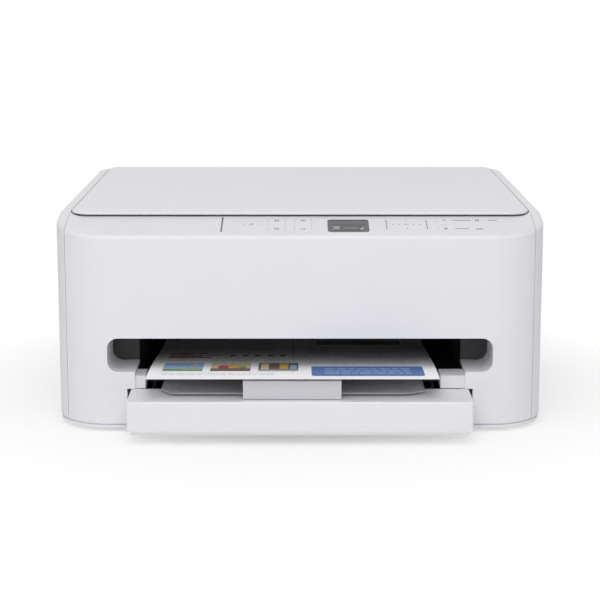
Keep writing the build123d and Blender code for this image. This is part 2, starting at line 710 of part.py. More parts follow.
def make_electronics():
    """The power supply with its mains inlet, and the main board with its data socket."""
    with BuildPart() as power_supply:
        block((-170, -138.5), (262, electronics_end), (casing_bottom, 60))
        fillet(power_supply.edges().filter_by(Axis.Y), 2)
        block((-156, -137), (electronics_end - 1, body_depth - 1), (28, 40))
        for x in (-149.9, -143.1):
            along_y(x, (electronics_end + 2, body_depth), 34, 4.2, mode=Mode.SUBTRACT)
            along_y(x, (electronics_end + 1, body_depth - 2), 34, 1.1)
    save(power_supply, "power_supply")
    with BuildPart() as main_board:
        block((139, 140.6), (60, electronics_end), (10, 60))
        for depth in (80, 320):
            for z in (18, 52):
                along_x((frame_x + frame_wall, 139.5), depth, z, 2.5)
        block((140, 145), (100, 128), (22, 50))
        block((140, 147), (160, 172), (16, 54))
        block((140, 143), (200, 222), (24, 44))
        block((140, 149), (260, 300), (16, 26))
        block((140, 154), (electronics_end - 10, electronics_end + 5), (30, 41))
        block((142, 154), (electronics_end + 4, body_depth - 1.4), (30, 41))
        block((144, 152), (electronics_end, body_depth), (32.5, 38.5), mode=Mode.SUBTRACT)
    save(main_board, "main_board")


def make_cassette():
    """The paper cassette, whose front panel and deck stand out of the casing."""
    side = 125.0
    with BuildPart() as paper_cassette:
        block((-side, side), (-38, 245), (cassette_floor, 31))
        block((-side + 3, side - 3), (-36.5, 243), (cassette_floor + 2, 32), mode=Mode.SUBTRACT)
        block((-side + 3, side - 3), (240, 246), (19, 32), mode=Mode.SUBTRACT)
        pick_gap = (paper_centre_x - 25, paper_centre_x + 25)
        block(pick_gap, (240, 246), (cassette_floor + 2, 32), mode=Mode.SUBTRACT)
        with BuildSketch(Plane.XY.offset(drawer_bottom)) as front_block:
            with Locations((0, front + (24 - drawer_reach) / 2)):
                Rectangle(2 * drawer_half_width, 24 + drawer_reach)
            fillet(front_block.vertices().group_by(Axis.Y)[0], 2.5)
        extrude(front_block.sketch, amount=drawer_top - drawer_bottom)
        panel = paper_cassette.faces().filter_by(Axis.Y).sort_by(Axis.Y)[0]
        fillet(panel.edges().sort_by(Axis.Z)[-1], 1.2)
        block((-side + 3, side - 3), (-36.5, 25), (cassette_floor + 2, 31), mode=Mode.SUBTRACT)
        tray_edges = (paper_centre_x - tray_half_width - 0.5, paper_centre_x + tray_half_width + 1)
        for x in ((-side + 3, tray_edges[0]), (tray_edges[1], side - 3)):
            block(x, (deck_window_depth, 25), (30, drawer_top + 1), mode=Mode.SUBTRACT)
        along_z(paper_centre_x, guide_depth, (cassette_floor + 1, cassette_floor + 5), 1.5)
    save(paper_cassette, "paper_cassette")


def make_paper_guides():
    """The two side guides, the pinion that keeps them centred, and the length guide."""
    floor = cassette_floor + 2.2
    reach = sheet_width / 2 + 0.3
    rack_gap = guide_pinion_radius + 0.1
    for side, name in ((-1, "left_paper_guide"), (1, "right_paper_guide")):
        fence = sorted((paper_centre_x + side * reach, paper_centre_x + side * (reach + 3)))
        rack = sorted((paper_centre_x - side * 10.4, paper_centre_x + side * (reach + 3)))
        rack_depth = sorted((guide_depth - side * rack_gap, guide_depth - side * (rack_gap + 4)))
        with BuildPart() as guide:
            block(fence, (60, 150), (floor, 28))
            block(rack, rack_depth, (floor, floor + 2))
        save(guide, name)
    with BuildPart() as guide_pinion:
        with BuildSketch(Plane.XY.offset(floor)) as wheel:
            with Locations((paper_centre_x, front + guide_depth)):
                Circle(guide_pinion_radius - 1.2)
                with PolarLocations(guide_pinion_radius - 0.8, 16):
                    Rectangle(1.6, pi * guide_pinion_radius / 16)
                Circle(1.5 + shaft_play, mode=Mode.SUBTRACT)
        extrude(wheel.sketch, amount=2)
    save(guide_pinion, "guide_pinion")
    with BuildPart() as length_guide:
        block((paper_centre_x - 20, paper_centre_x + 20), (-36.2, -8), (floor, floor + 2))
        block((paper_centre_x - 20, paper_centre_x + 20), (-36.2, -33.5), (floor, 28))
    save(length_guide, "length_guide")


def make_output_tray():
    """The sliding tray plate with chamfered front corners, and the ears of the output stop."""
    with BuildPart() as output_tray:
        with BuildSketch(Plane.XY.offset(tray_bottom)) as plate:
            with Locations((paper_centre_x + 0.15, front + 74.5)):
                Rectangle(2 * tray_half_width, 191)
            chamfer(plate.vertices().group_by(Axis.Y)[0], 13, 8)
        extrude(plate.sketch, amount=tray_top - tray_bottom)
        block((-38, 26.5), (-30.8, -20), (tray_bottom, tray_bottom + 0.8))
        for ear_x in ear_middles:
            ear_depth = (stop_axis_depth - 1.2, stop_axis_depth + 1.2)
            block((ear_x - 2.5, ear_x + 2.5), ear_depth, (tray_bottom, stop_axis_z))
            along_x((ear_x - 2.5, ear_x + 2.5), stop_axis_depth, stop_axis_z, 1.4)
            along_x((ear_x - 5, ear_x + 5), stop_axis_depth, stop_axis_z, 1)
        along_z(-91, -11, (tray_bottom - 1, tray_top + 1), 1.2, mode=Mode.SUBTRACT)
    save(output_tray, "output_tray")


def make_output_stop():
    """The upright flap that holds up the front of the printed sheet."""
    x = (-42.0, 30.5)
    with BuildPart() as output_stop:
        block(x, (-33, -28), (36, stop_top))
        block(x, (-33 - stop_lip, -28), (stop_top - 1.6, stop_top))
        block(x, (-33, -31.2), (33.5, 36.5))
        top = output_stop.faces().sort_by(Axis.Z)[-1]
        fillet(top.edges(), 0.6)
        for ear_x in ear_middles:
            block((ear_x - 2.9, ear_x + 2.9), (-31.2, -27), (33, 40), mode=Mode.SUBTRACT)
        along_x((x[0] + 2, x[1] - 2), stop_axis_depth, stop_axis_z, 1 + shaft_play, mode=Mode.SUBTRACT)
    save(output_stop, "output_stop")


def sheet_height(depth):
    """The height of the sheet's underside, from the tray up to its cantilevered front edge."""
    flat_z = tray_top + 0.1
    if depth >= sheet_flat_end:
        return flat_z
    if depth >= sheet_bend_start:
        curve = (sheet_flat_end - depth) ** 2 / (2 * (sheet_flat_end - sheet_bend_start))
        return flat_z + sheet_rise * curve
    bend_rise = sheet_rise * (sheet_flat_end - sheet_bend_start) / 2
    if depth >= sheet_crest:
        return flat_z + bend_rise + sheet_rise * (sheet_bend_start - depth)
    crest_z = flat_z + bend_rise + sheet_rise * (sheet_bend_start - sheet_crest)
    run = sheet_crest - depth
    return crest_z + sheet_rise * run - sheet_droop * run**2 / 2


def make_printed_sheet():
    """One printed sheet, flat on the tray at its back and raised over the stop at its front."""
    half_sheet = sheet_width / 2
    bend = range(int(sheet_bend_start), int(sheet_flat_end), 12)
    crest = range(int(sheet_front), int(sheet_crest), 12)
    depths = [*crest, sheet_crest, *bend, sheet_flat_end, sheet_back]
    under = [(depth, sheet_height(depth)) for depth in depths]
    over = [(depth, z + sheet_thickness) for depth, z in reversed(under)]
    with BuildPart() as printed_sheet:
        profile((paper_centre_x - half_sheet, paper_centre_x + half_sheet), under + over)
    save(printed_sheet, "printed_sheet")


def make_scanner_base():
    """The tub of the scanner, with the sleeves of the cover hinges and its own hinge lugs."""
    x = scanner_half_width
    with BuildPart() as scanner_base:
        block((-x, x), (46.2, scanner_rear_depth), (scanner_bottom, bed_bottom))
        inside = (48.4, scanner_rear_depth - 2.2)
        block((-x + 2.2, x - 2.2), inside, (scanner_bottom + 2, bed_bottom + 1), mode=Mode.SUBTRACT)
        for side in (-1, 1):
            sleeve = (scanner_rear_depth - 9.5, scanner_rear_depth)
            bore_depth = (hinge_depth[0] - slide_play, hinge_depth[1] + slide_play)
            ear_depth = (scanner_rear_depth - 5.6, scanner_rear_depth + 1)
            block(sorted((side * 104, side * 136)), sleeve, (scanner_bottom, bed_bottom))
            block(sorted((side * 107.8, side * 132.2)), bore_depth, (131, bed_bottom + 1), mode=Mode.SUBTRACT)
            block(sorted((side * 135.5, side * 144.5)), ear_depth, (120, 131), mode=Mode.SUBTRACT)
            for lug in ((131, 135.2), (144.8, 149)):
                lug_x = sorted((side * lug[0], side * lug[1]))
                lug_depth = (scanner_axis_depth - hinge_lug_radius, scanner_rear_depth)
                block(lug_x, lug_depth, (scanner_axis_z, scanner_bottom + 1))
                along_x(lug_x, scanner_axis_depth, scanner_axis_z, hinge_lug_radius)
            bore = hinge_pin_radius + shaft_play
            bore_x = sorted((side * 129, side * 151))
            along_x(bore_x, scanner_axis_depth, scanner_axis_z, bore, mode=Mode.SUBTRACT)
        behind = (scanner_rear_depth, scanner_rear_depth + 11)
        block((-x - 1, x + 1), behind, (100, 140), mode=Mode.SUBTRACT)
    save(scanner_base, "scanner_base")


def make_scanner_bed():
    """The frame round the glass, and the glass under it."""
    x = 175.6
    with BuildPart() as scanner_bed:
        with BuildSketch(Plane.XY.offset(bed_bottom)) as outline:
            with Locations((0, front + (45.4 + scanner_rear_depth - 0.1) / 2)):
                Rectangle(2 * x, scanner_rear_depth - 0.1 - 45.4)
            fillet(outline.vertices().group_by(Axis.Y)[0], 15)
        extrude(outline.sketch, amount=bed_top - bed_bottom)
        chamfer(scanner_bed.faces().sort_by(Axis.Z)[-1].edges().sort_by(Axis.Y)[-1], 1)
        block((-160.2, 150.2), (67.8, 296.2), (bed_bottom - 1, glass_top), mode=Mode.SUBTRACT)
        block((-152, 147), (72, 290), (glass_top - 1, bed_top + 1), mode=Mode.SUBTRACT)
        block((-172, 172), (52, 62), (bed_bottom - 1, glass_top), mode=Mode.SUBTRACT)
        for side in (-1, 1):
            notch = (scanner_rear_depth - 6.2, scanner_rear_depth + 1)
            block(sorted((side * 99, side * 141)), notch, (bed_bottom - 1, bed_top + 1), mode=Mode.SUBTRACT)
    save(scanner_bed, "scanner_bed")
    with BuildPart() as scanner_glass:
        block((-160, 150), (68, 296), (glass_top - 3, glass_top))
    save(scanner_glass, "scanner_glass")


def make_scan_bar():
    """The scan bar on its guide rod, and the small motor that rides on it."""
    bar_x = (-151, -131)
    with BuildPart() as scan_bar:
        block(bar_x, (76, 288), (136.4, 152.2))
        block(bar_x, (175.5, 188.5), (129.9, 137))
        block((-143, -139), (80, 284), (151.4, 153), mode=Mode.SUBTRACT)
        along_x((-152, -130), scan_rod_depth, scan_rod_z, 3 + shaft_play, mode=Mode.SUBTRACT)
    save(scan_bar, "scan_bar")
    with BuildPart() as scan_rail:
        along_x((-scanner_half_width + 2.2, scanner_half_width - 2.2), scan_rod_depth, scan_rod_z, 3)
    save(scan_rail, "scan_rail")
    with BuildPart() as scan_motor:
        block((-147, -135), (288, 291), (136.4, 148))
        along_z(-141, 297, (134, 149), 7.5)
        along_z(-141, 297, (131, 134.5), 1.5)
    save(scan_motor, "scan_motor")


def make_cover_hinges():
    """The two hinge blocks, which rise in their sleeves so that the cover also lies flat on a book."""
    with BuildPart() as cover_hinges:
        for side in (-1, 1):
            hinge_x = sorted((side * 108, side * 132))
            block(hinge_x, hinge_depth, (131.4, cover_axis_z))
            along_x(hinge_x, cover_axis_depth, cover_axis_z, 2.2)
            along_x(sorted((side * 100.5, side * 139.5)), cover_axis_depth, cover_axis_z, 1.5)
    save(cover_hinges, "cover_hinges")


def make_document_cover():
    """The lid over the glass, with its hinge lugs, and the white pad under it."""
    x = lid_half_width
    depth = (44.7, body_depth - 8)
    with BuildPart() as document_cover:
        with BuildSketch(Plane.XY.offset(lid_bottom)) as outline:
            with Locations((0, front + (depth[0] + depth[1]) / 2)):
                Rectangle(2 * x, depth[1] - depth[0])
            fillet(outline.vertices().group_by(Axis.Y)[0], 16)
            fillet(outline.vertices().group_by(Axis.Y)[-1], 10)
        extrude(outline.sketch, amount=lid_top - lid_bottom)
        fillet(document_cover.faces().sort_by(Axis.Z)[-1].edges(), 1.3)
        for side in (-1, 1):
            lug_depth = (cover_axis_depth - 2.2, cover_axis_depth + 2.2)
            for lug in ((100.2, 107.6), (132.4, 139.8)):
                lug_x = sorted((side * lug[0], side * lug[1]))
                block(lug_x, lug_depth, (cover_axis_z, lid_bottom + 0.5))
                along_x(lug_x, cover_axis_depth, cover_axis_z, 2.2)
            bore_x = sorted((side * 100, side * 140))
            along_x(bore_x, cover_axis_depth, cover_axis_z, 1.5 + shaft_play, mode=Mode.SUBTRACT)
            for bumper_depth in (62, body_depth - 28):
                along_z(side * 166, bumper_depth, (bed_top + 0.05, lid_bottom + 0.5), 3)
    save(document_cover, "document_cover")
    with BuildPart() as document_pad:
        block((-150, 145), (74, 288), (glass_top + 0.1, lid_bottom))
        fillet(document_pad.edges().filter_by(Axis.Z), 3)
    save(document_pad, "document_pad")


def make_casing_screws():
    """The screws that hold the floor pan to what stands on it."""
    with BuildPart() as casing_screws:
        for x, depth in screw_places:
            along_z(x, depth, (1.6, foot_height), 3.2)
            along_z(x, depth, (foot_height - 0.5, 7), 1.6)
            block((x - 2.2, x + 2.2), (depth - 0.4, depth + 0.4), (1, 2.2), mode=Mode.SUBTRACT)
            block((x - 0.4, x + 0.4), (depth - 2.2, depth + 2.2), (1, 2.2), mode=Mode.SUBTRACT)
    save(casing_screws, "casing_screws")


covers = casing_shell()
make_base_tray()
make_rubber_feet()
make_side_covers(covers)
make_front_fascia(covers)
make_rear_cover(covers)
make_rear_access_cover()
make_output_chute()
make_controls()
make_keys()
make_side_frames()
make_platen()
make_rollers_and_gears()
make_motors()
make_carriage_drive()
make_print_carriage()
make_star_wheels()
make_purge_unit()
make_pick_arm()
make_rear_paper_guide()
make_electronics()
make_cassette()
make_paper_guides()
make_output_tray()
make_output_stop()
make_printed_sheet()
make_scanner_base()
make_scanner_bed()
make_scan_bar()
make_cover_hinges()
make_document_cover()
make_casing_screws()
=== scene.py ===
"""Looks of a compact inkjet multifunction printer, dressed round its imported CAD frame.

The file is laid out as an add-on and is run as a script. Lengths are in metres, in the frame of the
CAD: X to the right as seen from the front, Y to the back, Z up. Depths are counted in millimetres
from the front face, as in the CAD.
"""

import json
import math
import random

import bpy
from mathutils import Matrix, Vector

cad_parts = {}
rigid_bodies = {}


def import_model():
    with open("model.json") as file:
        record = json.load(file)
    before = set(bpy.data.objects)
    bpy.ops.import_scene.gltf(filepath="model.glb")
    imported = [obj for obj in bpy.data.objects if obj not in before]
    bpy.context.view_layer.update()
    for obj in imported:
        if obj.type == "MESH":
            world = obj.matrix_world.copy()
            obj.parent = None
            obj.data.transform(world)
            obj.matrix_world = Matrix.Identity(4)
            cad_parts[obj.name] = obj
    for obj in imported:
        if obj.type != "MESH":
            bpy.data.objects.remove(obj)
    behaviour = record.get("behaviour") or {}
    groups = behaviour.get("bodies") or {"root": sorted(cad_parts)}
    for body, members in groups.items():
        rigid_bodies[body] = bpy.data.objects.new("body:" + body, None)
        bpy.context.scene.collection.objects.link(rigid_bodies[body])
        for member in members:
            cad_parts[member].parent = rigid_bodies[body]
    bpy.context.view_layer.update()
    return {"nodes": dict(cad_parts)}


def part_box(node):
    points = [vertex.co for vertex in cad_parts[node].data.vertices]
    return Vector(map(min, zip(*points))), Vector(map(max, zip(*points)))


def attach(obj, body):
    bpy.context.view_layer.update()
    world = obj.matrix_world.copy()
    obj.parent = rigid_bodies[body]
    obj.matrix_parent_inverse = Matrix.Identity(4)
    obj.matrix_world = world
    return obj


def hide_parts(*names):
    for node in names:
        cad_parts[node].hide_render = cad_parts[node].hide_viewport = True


bl_info = {
    "name": "Multifunction printer looks",
    "version": (1, 0, 0),
    "blender": (4, 5, 0),
    "location": "View3D > Sidebar > Printer",
    "description": "Dresses the packed printer in its plastics, metals, paper and prints",
    "category": "Object",
}

for leftover in list(bpy.data.objects):
    bpy.data.objects.remove(leftover)

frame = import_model()
nodes = frame["nodes"]

mm = 0.001

# Where things are in the CAD
front = -159 * mm
shelf_front = 150.24 * mm
shelf_angle = math.radians(10.15)
window_sink = 0.1 * mm
paper_middle = -5.4 * mm
paper_width = 215.9 * mm
paper_length = 279.2 * mm
paper_front = -39.0
socket_place = (148.0, 35.5)
socket_face = 356.95 * mm
socket_mouth = 357.6 * mm
inlet_pins = (-149.9, -143.1)
inlet_height = 34.0
inlet_tips = 356.8 * mm

# A print's tallest strip, which lets it follow a bend, and the step between its layers
bend_step = 5.0
ink_step = 0.012 * mm

finishes = {}


def linear(colour):
    """The linear value of an sRGB hex colour, with full alpha."""
    parts = [int(colour[i:i + 2], 16) / 255 for i in (0, 2, 4)]
    return [c / 12.92 if c <= 0.04045 else ((c + 0.055) / 1.055) ** 2.4 for c in parts] + [1.0]


def shade(colour, factor):
    """A colour made a little darker or lighter."""
    return [min(c * factor, 1.0) for c in colour[:3]] + [1.0]


# Settings

class PrinterColours(bpy.types.PropertyGroup):
    """Colours of the plastics that show."""

    casing: bpy.props.FloatVectorProperty(
        name="Casing", description="White ABS of the covers and the lid",
        subtype="COLOR", size=4, min=0, max=1, default=linear("E2E2E6"))
    cassette: bpy.props.FloatVectorProperty(
        name="Cassette", description="White ABS of the paper cassette",
        subtype="COLOR", size=4, min=0, max=1, default=linear("E3E3E7"))
    # The tray colour is partly its own light grey and partly painted shade: it is darker than the
    # plastic, for the sheet's shadow on the tray
    tray: bpy.props.FloatVectorProperty(
        name="Tray", description="Light grey ABS of the output tray",
        subtype="COLOR", size=4, min=0, max=1, default=linear("ACADB1"))
    liner: bpy.props.FloatVectorProperty(
        name="Liner", description="Black polystyrene round the paper output",
        subtype="COLOR", size=4, min=0, max=1, default=linear("18191B"))
    engine: bpy.props.FloatVectorProperty(
        name="Engine", description="Black plastic of the frames and guides",
        subtype="COLOR", size=4, min=0, max=1, default=linear("2A2B2E"))
    display: bpy.props.FloatVectorProperty(
        name="Display", description="Smoked window over the display",
        subtype="COLOR", size=4, min=0, max=1, default=linear("1C1D1F"))
    marks: bpy.props.FloatVectorProperty(
        name="Marks", description="Grey pad print on the keys and the shelf",
        subtype="COLOR", size=4, min=0, max=1, default=linear("43464B"))


class PrinterSheet(bpy.types.PropertyGroup):
    """The printed sheet in the output tray."""

    thickness: bpy.props.FloatProperty(
        name="Thickness", description="Thickness of the paper, drawn a little heavy",
        unit="LENGTH", default=0.16 * mm, min=0.05 * mm, max=0.5 * mm)
    print_lift: bpy.props.FloatProperty(
        name="Print lift", description="How far a print stands off what it is on",
        unit="LENGTH", default=0.05 * mm, min=0.01 * mm, max=0.2 * mm)
    seed: bpy.props.IntProperty(
        name="Seed", description="Sets the lengths of the lines of print", default=11, min=0)


class PrinterStage(bpy.types.PropertyGroup):
    """Camera and studio light."""

    lens: bpy.props.FloatProperty(
        name="Lens", description="Focal length on a 36 mm sensor, in millimetres",
        default=106.05, min=20, max=300)
    pitch: bpy.props.FloatProperty(
        name="Pitch", description="How far the camera looks down",
        subtype="ANGLE", default=math.radians(10.77), min=0, max=1.5)
    key_power: bpy.props.FloatProperty(
        name="Key light", description="Power of the big light over the camera, in watts",
        default=26.0, min=0, max=500)
    front_power: bpy.props.FloatProperty(
        name="Front light", description="Power of the low light behind the camera, in watts",
        default=9.5, min=0, max=500)
    side_power: bpy.props.FloatProperty(
        name="Side lights", description="Power of each light beside and behind, in watts",
        default=3.0, min=0, max=500)
    ambient: bpy.props.FloatProperty(
        name="Ambient", description="Strength of the even light all round",
        default=0.38, min=0, max=2)


# Materials

def add_node(tree, kind, inputs=None, **settings):
    """Adds a node, sets it, and fills its inputs with values or with links from sockets."""
    made = tree.nodes.new(kind)
    for name, value in settings.items():
        setattr(made, name, value)
    for name, value in (inputs or {}).items():
        if isinstance(value, bpy.types.NodeSocket):
            tree.links.new(value, made.inputs[name])
        else:
            made.inputs[name].default_value = value
    return made


def new_finish(name, **sockets):
    """A new material with its shader's plain sockets set, as (material, tree, shader, place)."""
    finish = bpy.data.materials.new(name)
    finish.use_nodes = True
    tree = finish.node_tree
    shader = tree.nodes["Principled BSDF"]
    for socket, value in sockets.items():
        shader.inputs[socket.replace("_", " ")].default_value = value
    place = add_node(tree, "ShaderNodeTexCoord").outputs["Object"]
    return finish, tree, shader, place


def shaded(tree, shader, pattern, dark, light):
    """Links the base colour to a pattern that runs between two close shades."""
    mixed = add_node(tree, "ShaderNodeMix", {0: pattern, 6: dark, 7: light}, data_type="RGBA")
    tree.links.new(mixed.outputs[2], shader.inputs["Base Color"])


def ranged(tree, pattern, low, high, socket):
    """Links a socket to a pattern that is mapped to a range."""
    span = add_node(tree, "ShaderNodeMapRange", {"Value": pattern, "To Min": low, "To Max": high})
    tree.links.new(span.outputs["Result"], socket)


def grained(tree, shader, pattern, height):
    """Links the shader's normal to a relief of a pattern, with its height in metres."""
    relief = add_node(tree, "ShaderNodeBump",
                      {"Height": pattern, "Strength": 0.6, "Distance": height})
    tree.links.new(relief.outputs["Normal"], shader.inputs["Normal"])


def moulded_plastic(name, colour, roughness, ior, grain=0.9 * mm, depth=0.01 * mm):
    """Injection-moulded plastic out of a spark-eroded mould, with its fine even grain.

    Real grain is about 0.2 mm, too fine to show, so it is drawn as coarse as it is given here.
    """
    finish, tree, shader, place = new_finish(name, IOR=ior)
    flow = add_node(tree, "ShaderNodeTexNoise", {"Vector": place, "Scale": 14.0, "Detail": 2.0})
    grit = add_node(tree, "ShaderNodeTexNoise",
                    {"Vector": place, "Scale": 1 / grain, "Detail": 3.0})
    shaded(tree, shader, flow.outputs["Fac"], shade(colour, 0.985), shade(colour, 1.015))
    ranged(tree, grit.outputs["Fac"], roughness - 0.05, roughness + 0.05,
           shader.inputs["Roughness"])
    grained(tree, shader, grit.outputs["Fac"], depth)
    return finish


def polished_plastic(name, colour, roughness, ior, gloss=0.5):
    """Clear plastic out of a polished mould: a deep gloss with a faint waviness."""
    finish, tree, shader, place = new_finish(name, IOR=ior, Specular_IOR_Level=gloss)
    flow = add_node(tree, "ShaderNodeTexNoise", {"Vector": place, "Scale": 60.0, "Detail": 1.0})
    shaded(tree, shader, flow.outputs["Fac"], shade(colour, 0.96), shade(colour, 1.04))
    ranged(tree, flow.outputs["Fac"], roughness * 0.8, roughness * 1.2, shader.inputs["Roughness"])
    grained(tree, shader, flow.outputs["Fac"], 0.004 * mm)
    return finish


def worked_metal(name, dark, light, roughness, stretch, depth=0.006 * mm):
    """Rolled, drawn or plated steel, whose fine lines follow the way it was worked."""
    finish, tree, shader, place = new_finish(name, Metallic=1.0)
    along = add_node(tree, "ShaderNodeMapping", {"Vector": place, "Scale": stretch})
    lines = add_node(tree, "ShaderNodeTexNoise",
                     {"Vector": along.outputs["Vector"], "Scale": 1500.0, "Detail": 3.0})
    shaded(tree, shader, lines.outputs["Fac"], linear(dark), linear(light))
    ranged(tree, lines.outputs["Fac"], roughness - 0.08, roughness + 0.08,
           shader.inputs["Roughness"])
    grained(tree, shader, lines.outputs["Fac"], depth)
    return finish


def moulded_rubber(name, dark, light):
    """EPDM rubber with a dull skin and the small pits of its mould."""
    finish, tree, shader, place = new_finish(name, IOR=1.5)
    pits = add_node(tree, "ShaderNodeTexVoronoi", {"Vector": place, "Scale": 1200.0})
    shaded(tree, shader, pits.outputs["Distance"], linear(dark), linear(light))
    ranged(tree, pits.outputs["Distance"], 0.7, 0.85, shader.inputs["Roughness"])
    grained(tree, shader, pits.outputs["Distance"], 0.03 * mm)
    return finish


def circuit_laminate(name, dark, light):
    """Glass-epoxy board under green lacquer, with copper tracks that raise it on a 4 mm raster."""
    finish, tree, shader, place = new_finish(name, IOR=1.55)
    tracks = add_node(tree, "ShaderNodeTexVoronoi", {"Vector": place, "Scale": 260.0},
                      distance="MANHATTAN")
    lacquer = add_node(tree, "ShaderNodeTexNoise", {"Vector": place, "Scale": 90.0})
    shaded(tree, shader, tracks.outputs["Distance"], linear(dark), linear(light))
    ranged(tree, lacquer.outputs["Fac"], 0.25, 0.4, shader.inputs["Roughness"])
    grained(tree, shader, tracks.outputs["Distance"], 0.05 * mm)
    return finish


def float_glass(name):
    """Clear float glass with the slight green of its iron."""
    finish, tree, shader, place = new_finish(
        name, IOR=1.52, Roughness=0.02, Transmission_Weight=1.0)
    veil = add_node(tree, "ShaderNodeTexNoise", {"Vector": place, "Scale": 8.0})
    shaded(tree, shader, veil.outputs["Fac"], linear("EEF5F1"), linear("F6FBF8"))
    return finish


def faced_foam(name):
    """Closed-cell foam under a matt white film, with the film's shallow orange peel."""
    finish, tree, shader, place = new_finish(name, IOR=1.45)
    peel = add_node(tree, "ShaderNodeTexNoise", {"Vector": place, "Scale": 500.0, "Detail": 2.0})
    shaded(tree, shader, peel.outputs["Fac"], linear("EDEDEB"), linear("F4F4F2"))
    ranged(tree, peel.outputs["Fac"], 0.6, 0.75, shader.inputs["Roughness"])
    grained(tree, shader, peel.outputs["Fac"], 0.03 * mm)
    return finish


def coated_paper(name):
    """Coated 80 g office paper: bright and matt, with a cloudy web of fibres."""
    finish, tree, shader, place = new_finish(name, IOR=1.45)
    cloud = add_node(tree, "ShaderNodeTexNoise", {"Vector": place, "Scale": 220.0, "Detail": 4.0})
    fibre = add_node(tree, "ShaderNodeTexNoise", {"Vector": place, "Scale": 1800.0, "Detail": 2.0})
    shaded(tree, shader, cloud.outputs["Fac"], linear("F3F4F6"), linear("FBFBFC"))
    ranged(tree, fibre.outputs["Fac"], 0.72, 0.9, shader.inputs["Roughness"])
    grained(tree, shader, fibre.outputs["Fac"], 0.008 * mm)
    return finish


def thin_print(name, colour, ground, roughness=0.65, gloss=0.5):
    """Ink on paper or plastic, where what is under it leaves the colour a little uneven."""
    finish, tree, shader, place = new_finish(
        name, IOR=1.45, Roughness=roughness, Specular_IOR_Level=gloss)
    soak = add_node(tree, "ShaderNodeTexNoise", {"Vector": place, "Scale": 1500.0, "Detail": 2.0})
    full, under = colour, linear(ground)
    faded = [0.88 * a + 0.12 * b for a, b in zip(full, under)]
    shaded(tree, shader, soak.outputs["Fac"], full, faded)
    return finish


paper_inks = {
    "ink_dark": "4A4D52", "ink_grey": "A3A6AB", "ink_blue": "3F69A8", "ink_pale": "C9D8EC",
    "ink_red": "A62B3C", "ink_yellow": "D9A92B", "ink_green": "6E9A4A", "ink_brown": "6B4A3A",
    "ink_sky": "8FB4D6", "ink_sand": "D8C6A0",
}


def make_finishes(colours):
    """Makes each finish once, under the name of its use."""
    finishes.update(
        # Textured ABS scatters light evenly and looks like eggshell
        casing=moulded_plastic("moulded white ABS", colours.casing, 0.48, 1.54),
        cassette=moulded_plastic("moulded white ABS of the cassette", colours.cassette, 0.46, 1.54),
        keys=moulded_plastic("moulded white ABS of the keys", colours.casing, 0.44, 1.54, 0.6 * mm),
        # Partly painted shade: the tray's light grey is darkened for the sheet's shadow on it
        tray=moulded_plastic("light grey ABS darkened with painted shade", colours.tray, 0.5, 1.54),
        # The stop is white ABS; its pale grey is painted shade, for the shade on its face under its
        # lip
        stop=moulded_plastic("white ABS greyed with painted shade", linear("CBCBD0"), 0.5, 1.54),
        guides=moulded_plastic("moulded mid grey polystyrene", linear("8E9194"), 0.45, 1.59),
        # Black polystyrene with glass fibre keeps a dull, slightly streaky skin
        liner=moulded_plastic(
            "moulded black polystyrene", colours.liner, 0.55, 1.59, depth=0.02 * mm),
        engine=moulded_plastic(
            "glass-filled polystyrene", colours.engine, 0.5, 1.59, depth=0.03 * mm),
        supply=moulded_plastic(
            "flame-retardant ABS", linear("232427"), 0.42, 1.55, depth=0.02 * mm),
        # Acetal is waxy, cream and smooth
        acetal=moulded_plastic("moulded acetal", linear("E0DDD1"), 0.32, 1.48, depth=0.004 * mm),
        levers=moulded_plastic("moulded blue-grey acetal", linear("6A7B90"), 0.35, 1.48),
        black_ink=moulded_plastic("black polypropylene", linear("1E1F21"), 0.38, 1.49),
        colour_ink=moulded_plastic("dark blue polypropylene", linear("2A3443"), 0.38, 1.49),
        # The acrylic of the window has a coating that takes away most of its glare
        display=polished_plastic("polished smoked acrylic", colours.display, 0.16, 1.49, 0.2),
        light=polished_plastic("smoked light guide", linear("26272A"), 0.25, 1.585),
        rubber=moulded_rubber("moulded EPDM rubber", "1C1C1D", "2B2B2C"),
        steel=worked_metal("galvanised steel strip", "9A9DA1", "C4C7CA", 0.38, (0.02, 1.0, 1.0)),
        shaft=worked_metal("ground steel shaft", "A5A8AC", "C9CCCF", 0.26, (1.0, 0.03, 0.03)),
        motor=worked_metal("zinc-plated motor can", "8E9297", "B4B8BC", 0.36, (1.0, 1.0, 1.0)),
        screw=worked_metal("zinc-plated screw", "83868B", "AFB3B7", 0.34, (1.0, 1.0, 1.0)),
        nickel=worked_metal("nickel-plated brass", "B9B2A2", "D8D2C4", 0.24, (1.0, 1.0, 1.0)),
        board=circuit_laminate("green circuit board", "1F5B36", "2F7A48"),
        glass=float_glass("clear float glass"),
        foam=faced_foam("white film on foam"),
        paper=coated_paper("coated office paper"),
        key_print=thin_print("grey pad print", colours.marks, "E4E6E8"),
        screen=thin_print("lit part of the display", linear("26272A"), "1E1F21", 0.3, 0.2),
        screen_marks=thin_print("pale marks on the display", linear("DDE0E3"), "8A8D91", 0.3),
        label=thin_print("bare cartridge label", linear("C9CDD2"), "E4E6E8", 0.4),
    )
    for ink, colour in paper_inks.items():
        finishes[ink] = thin_print(ink.replace("_", " "), linear(colour), "F6F6F7")


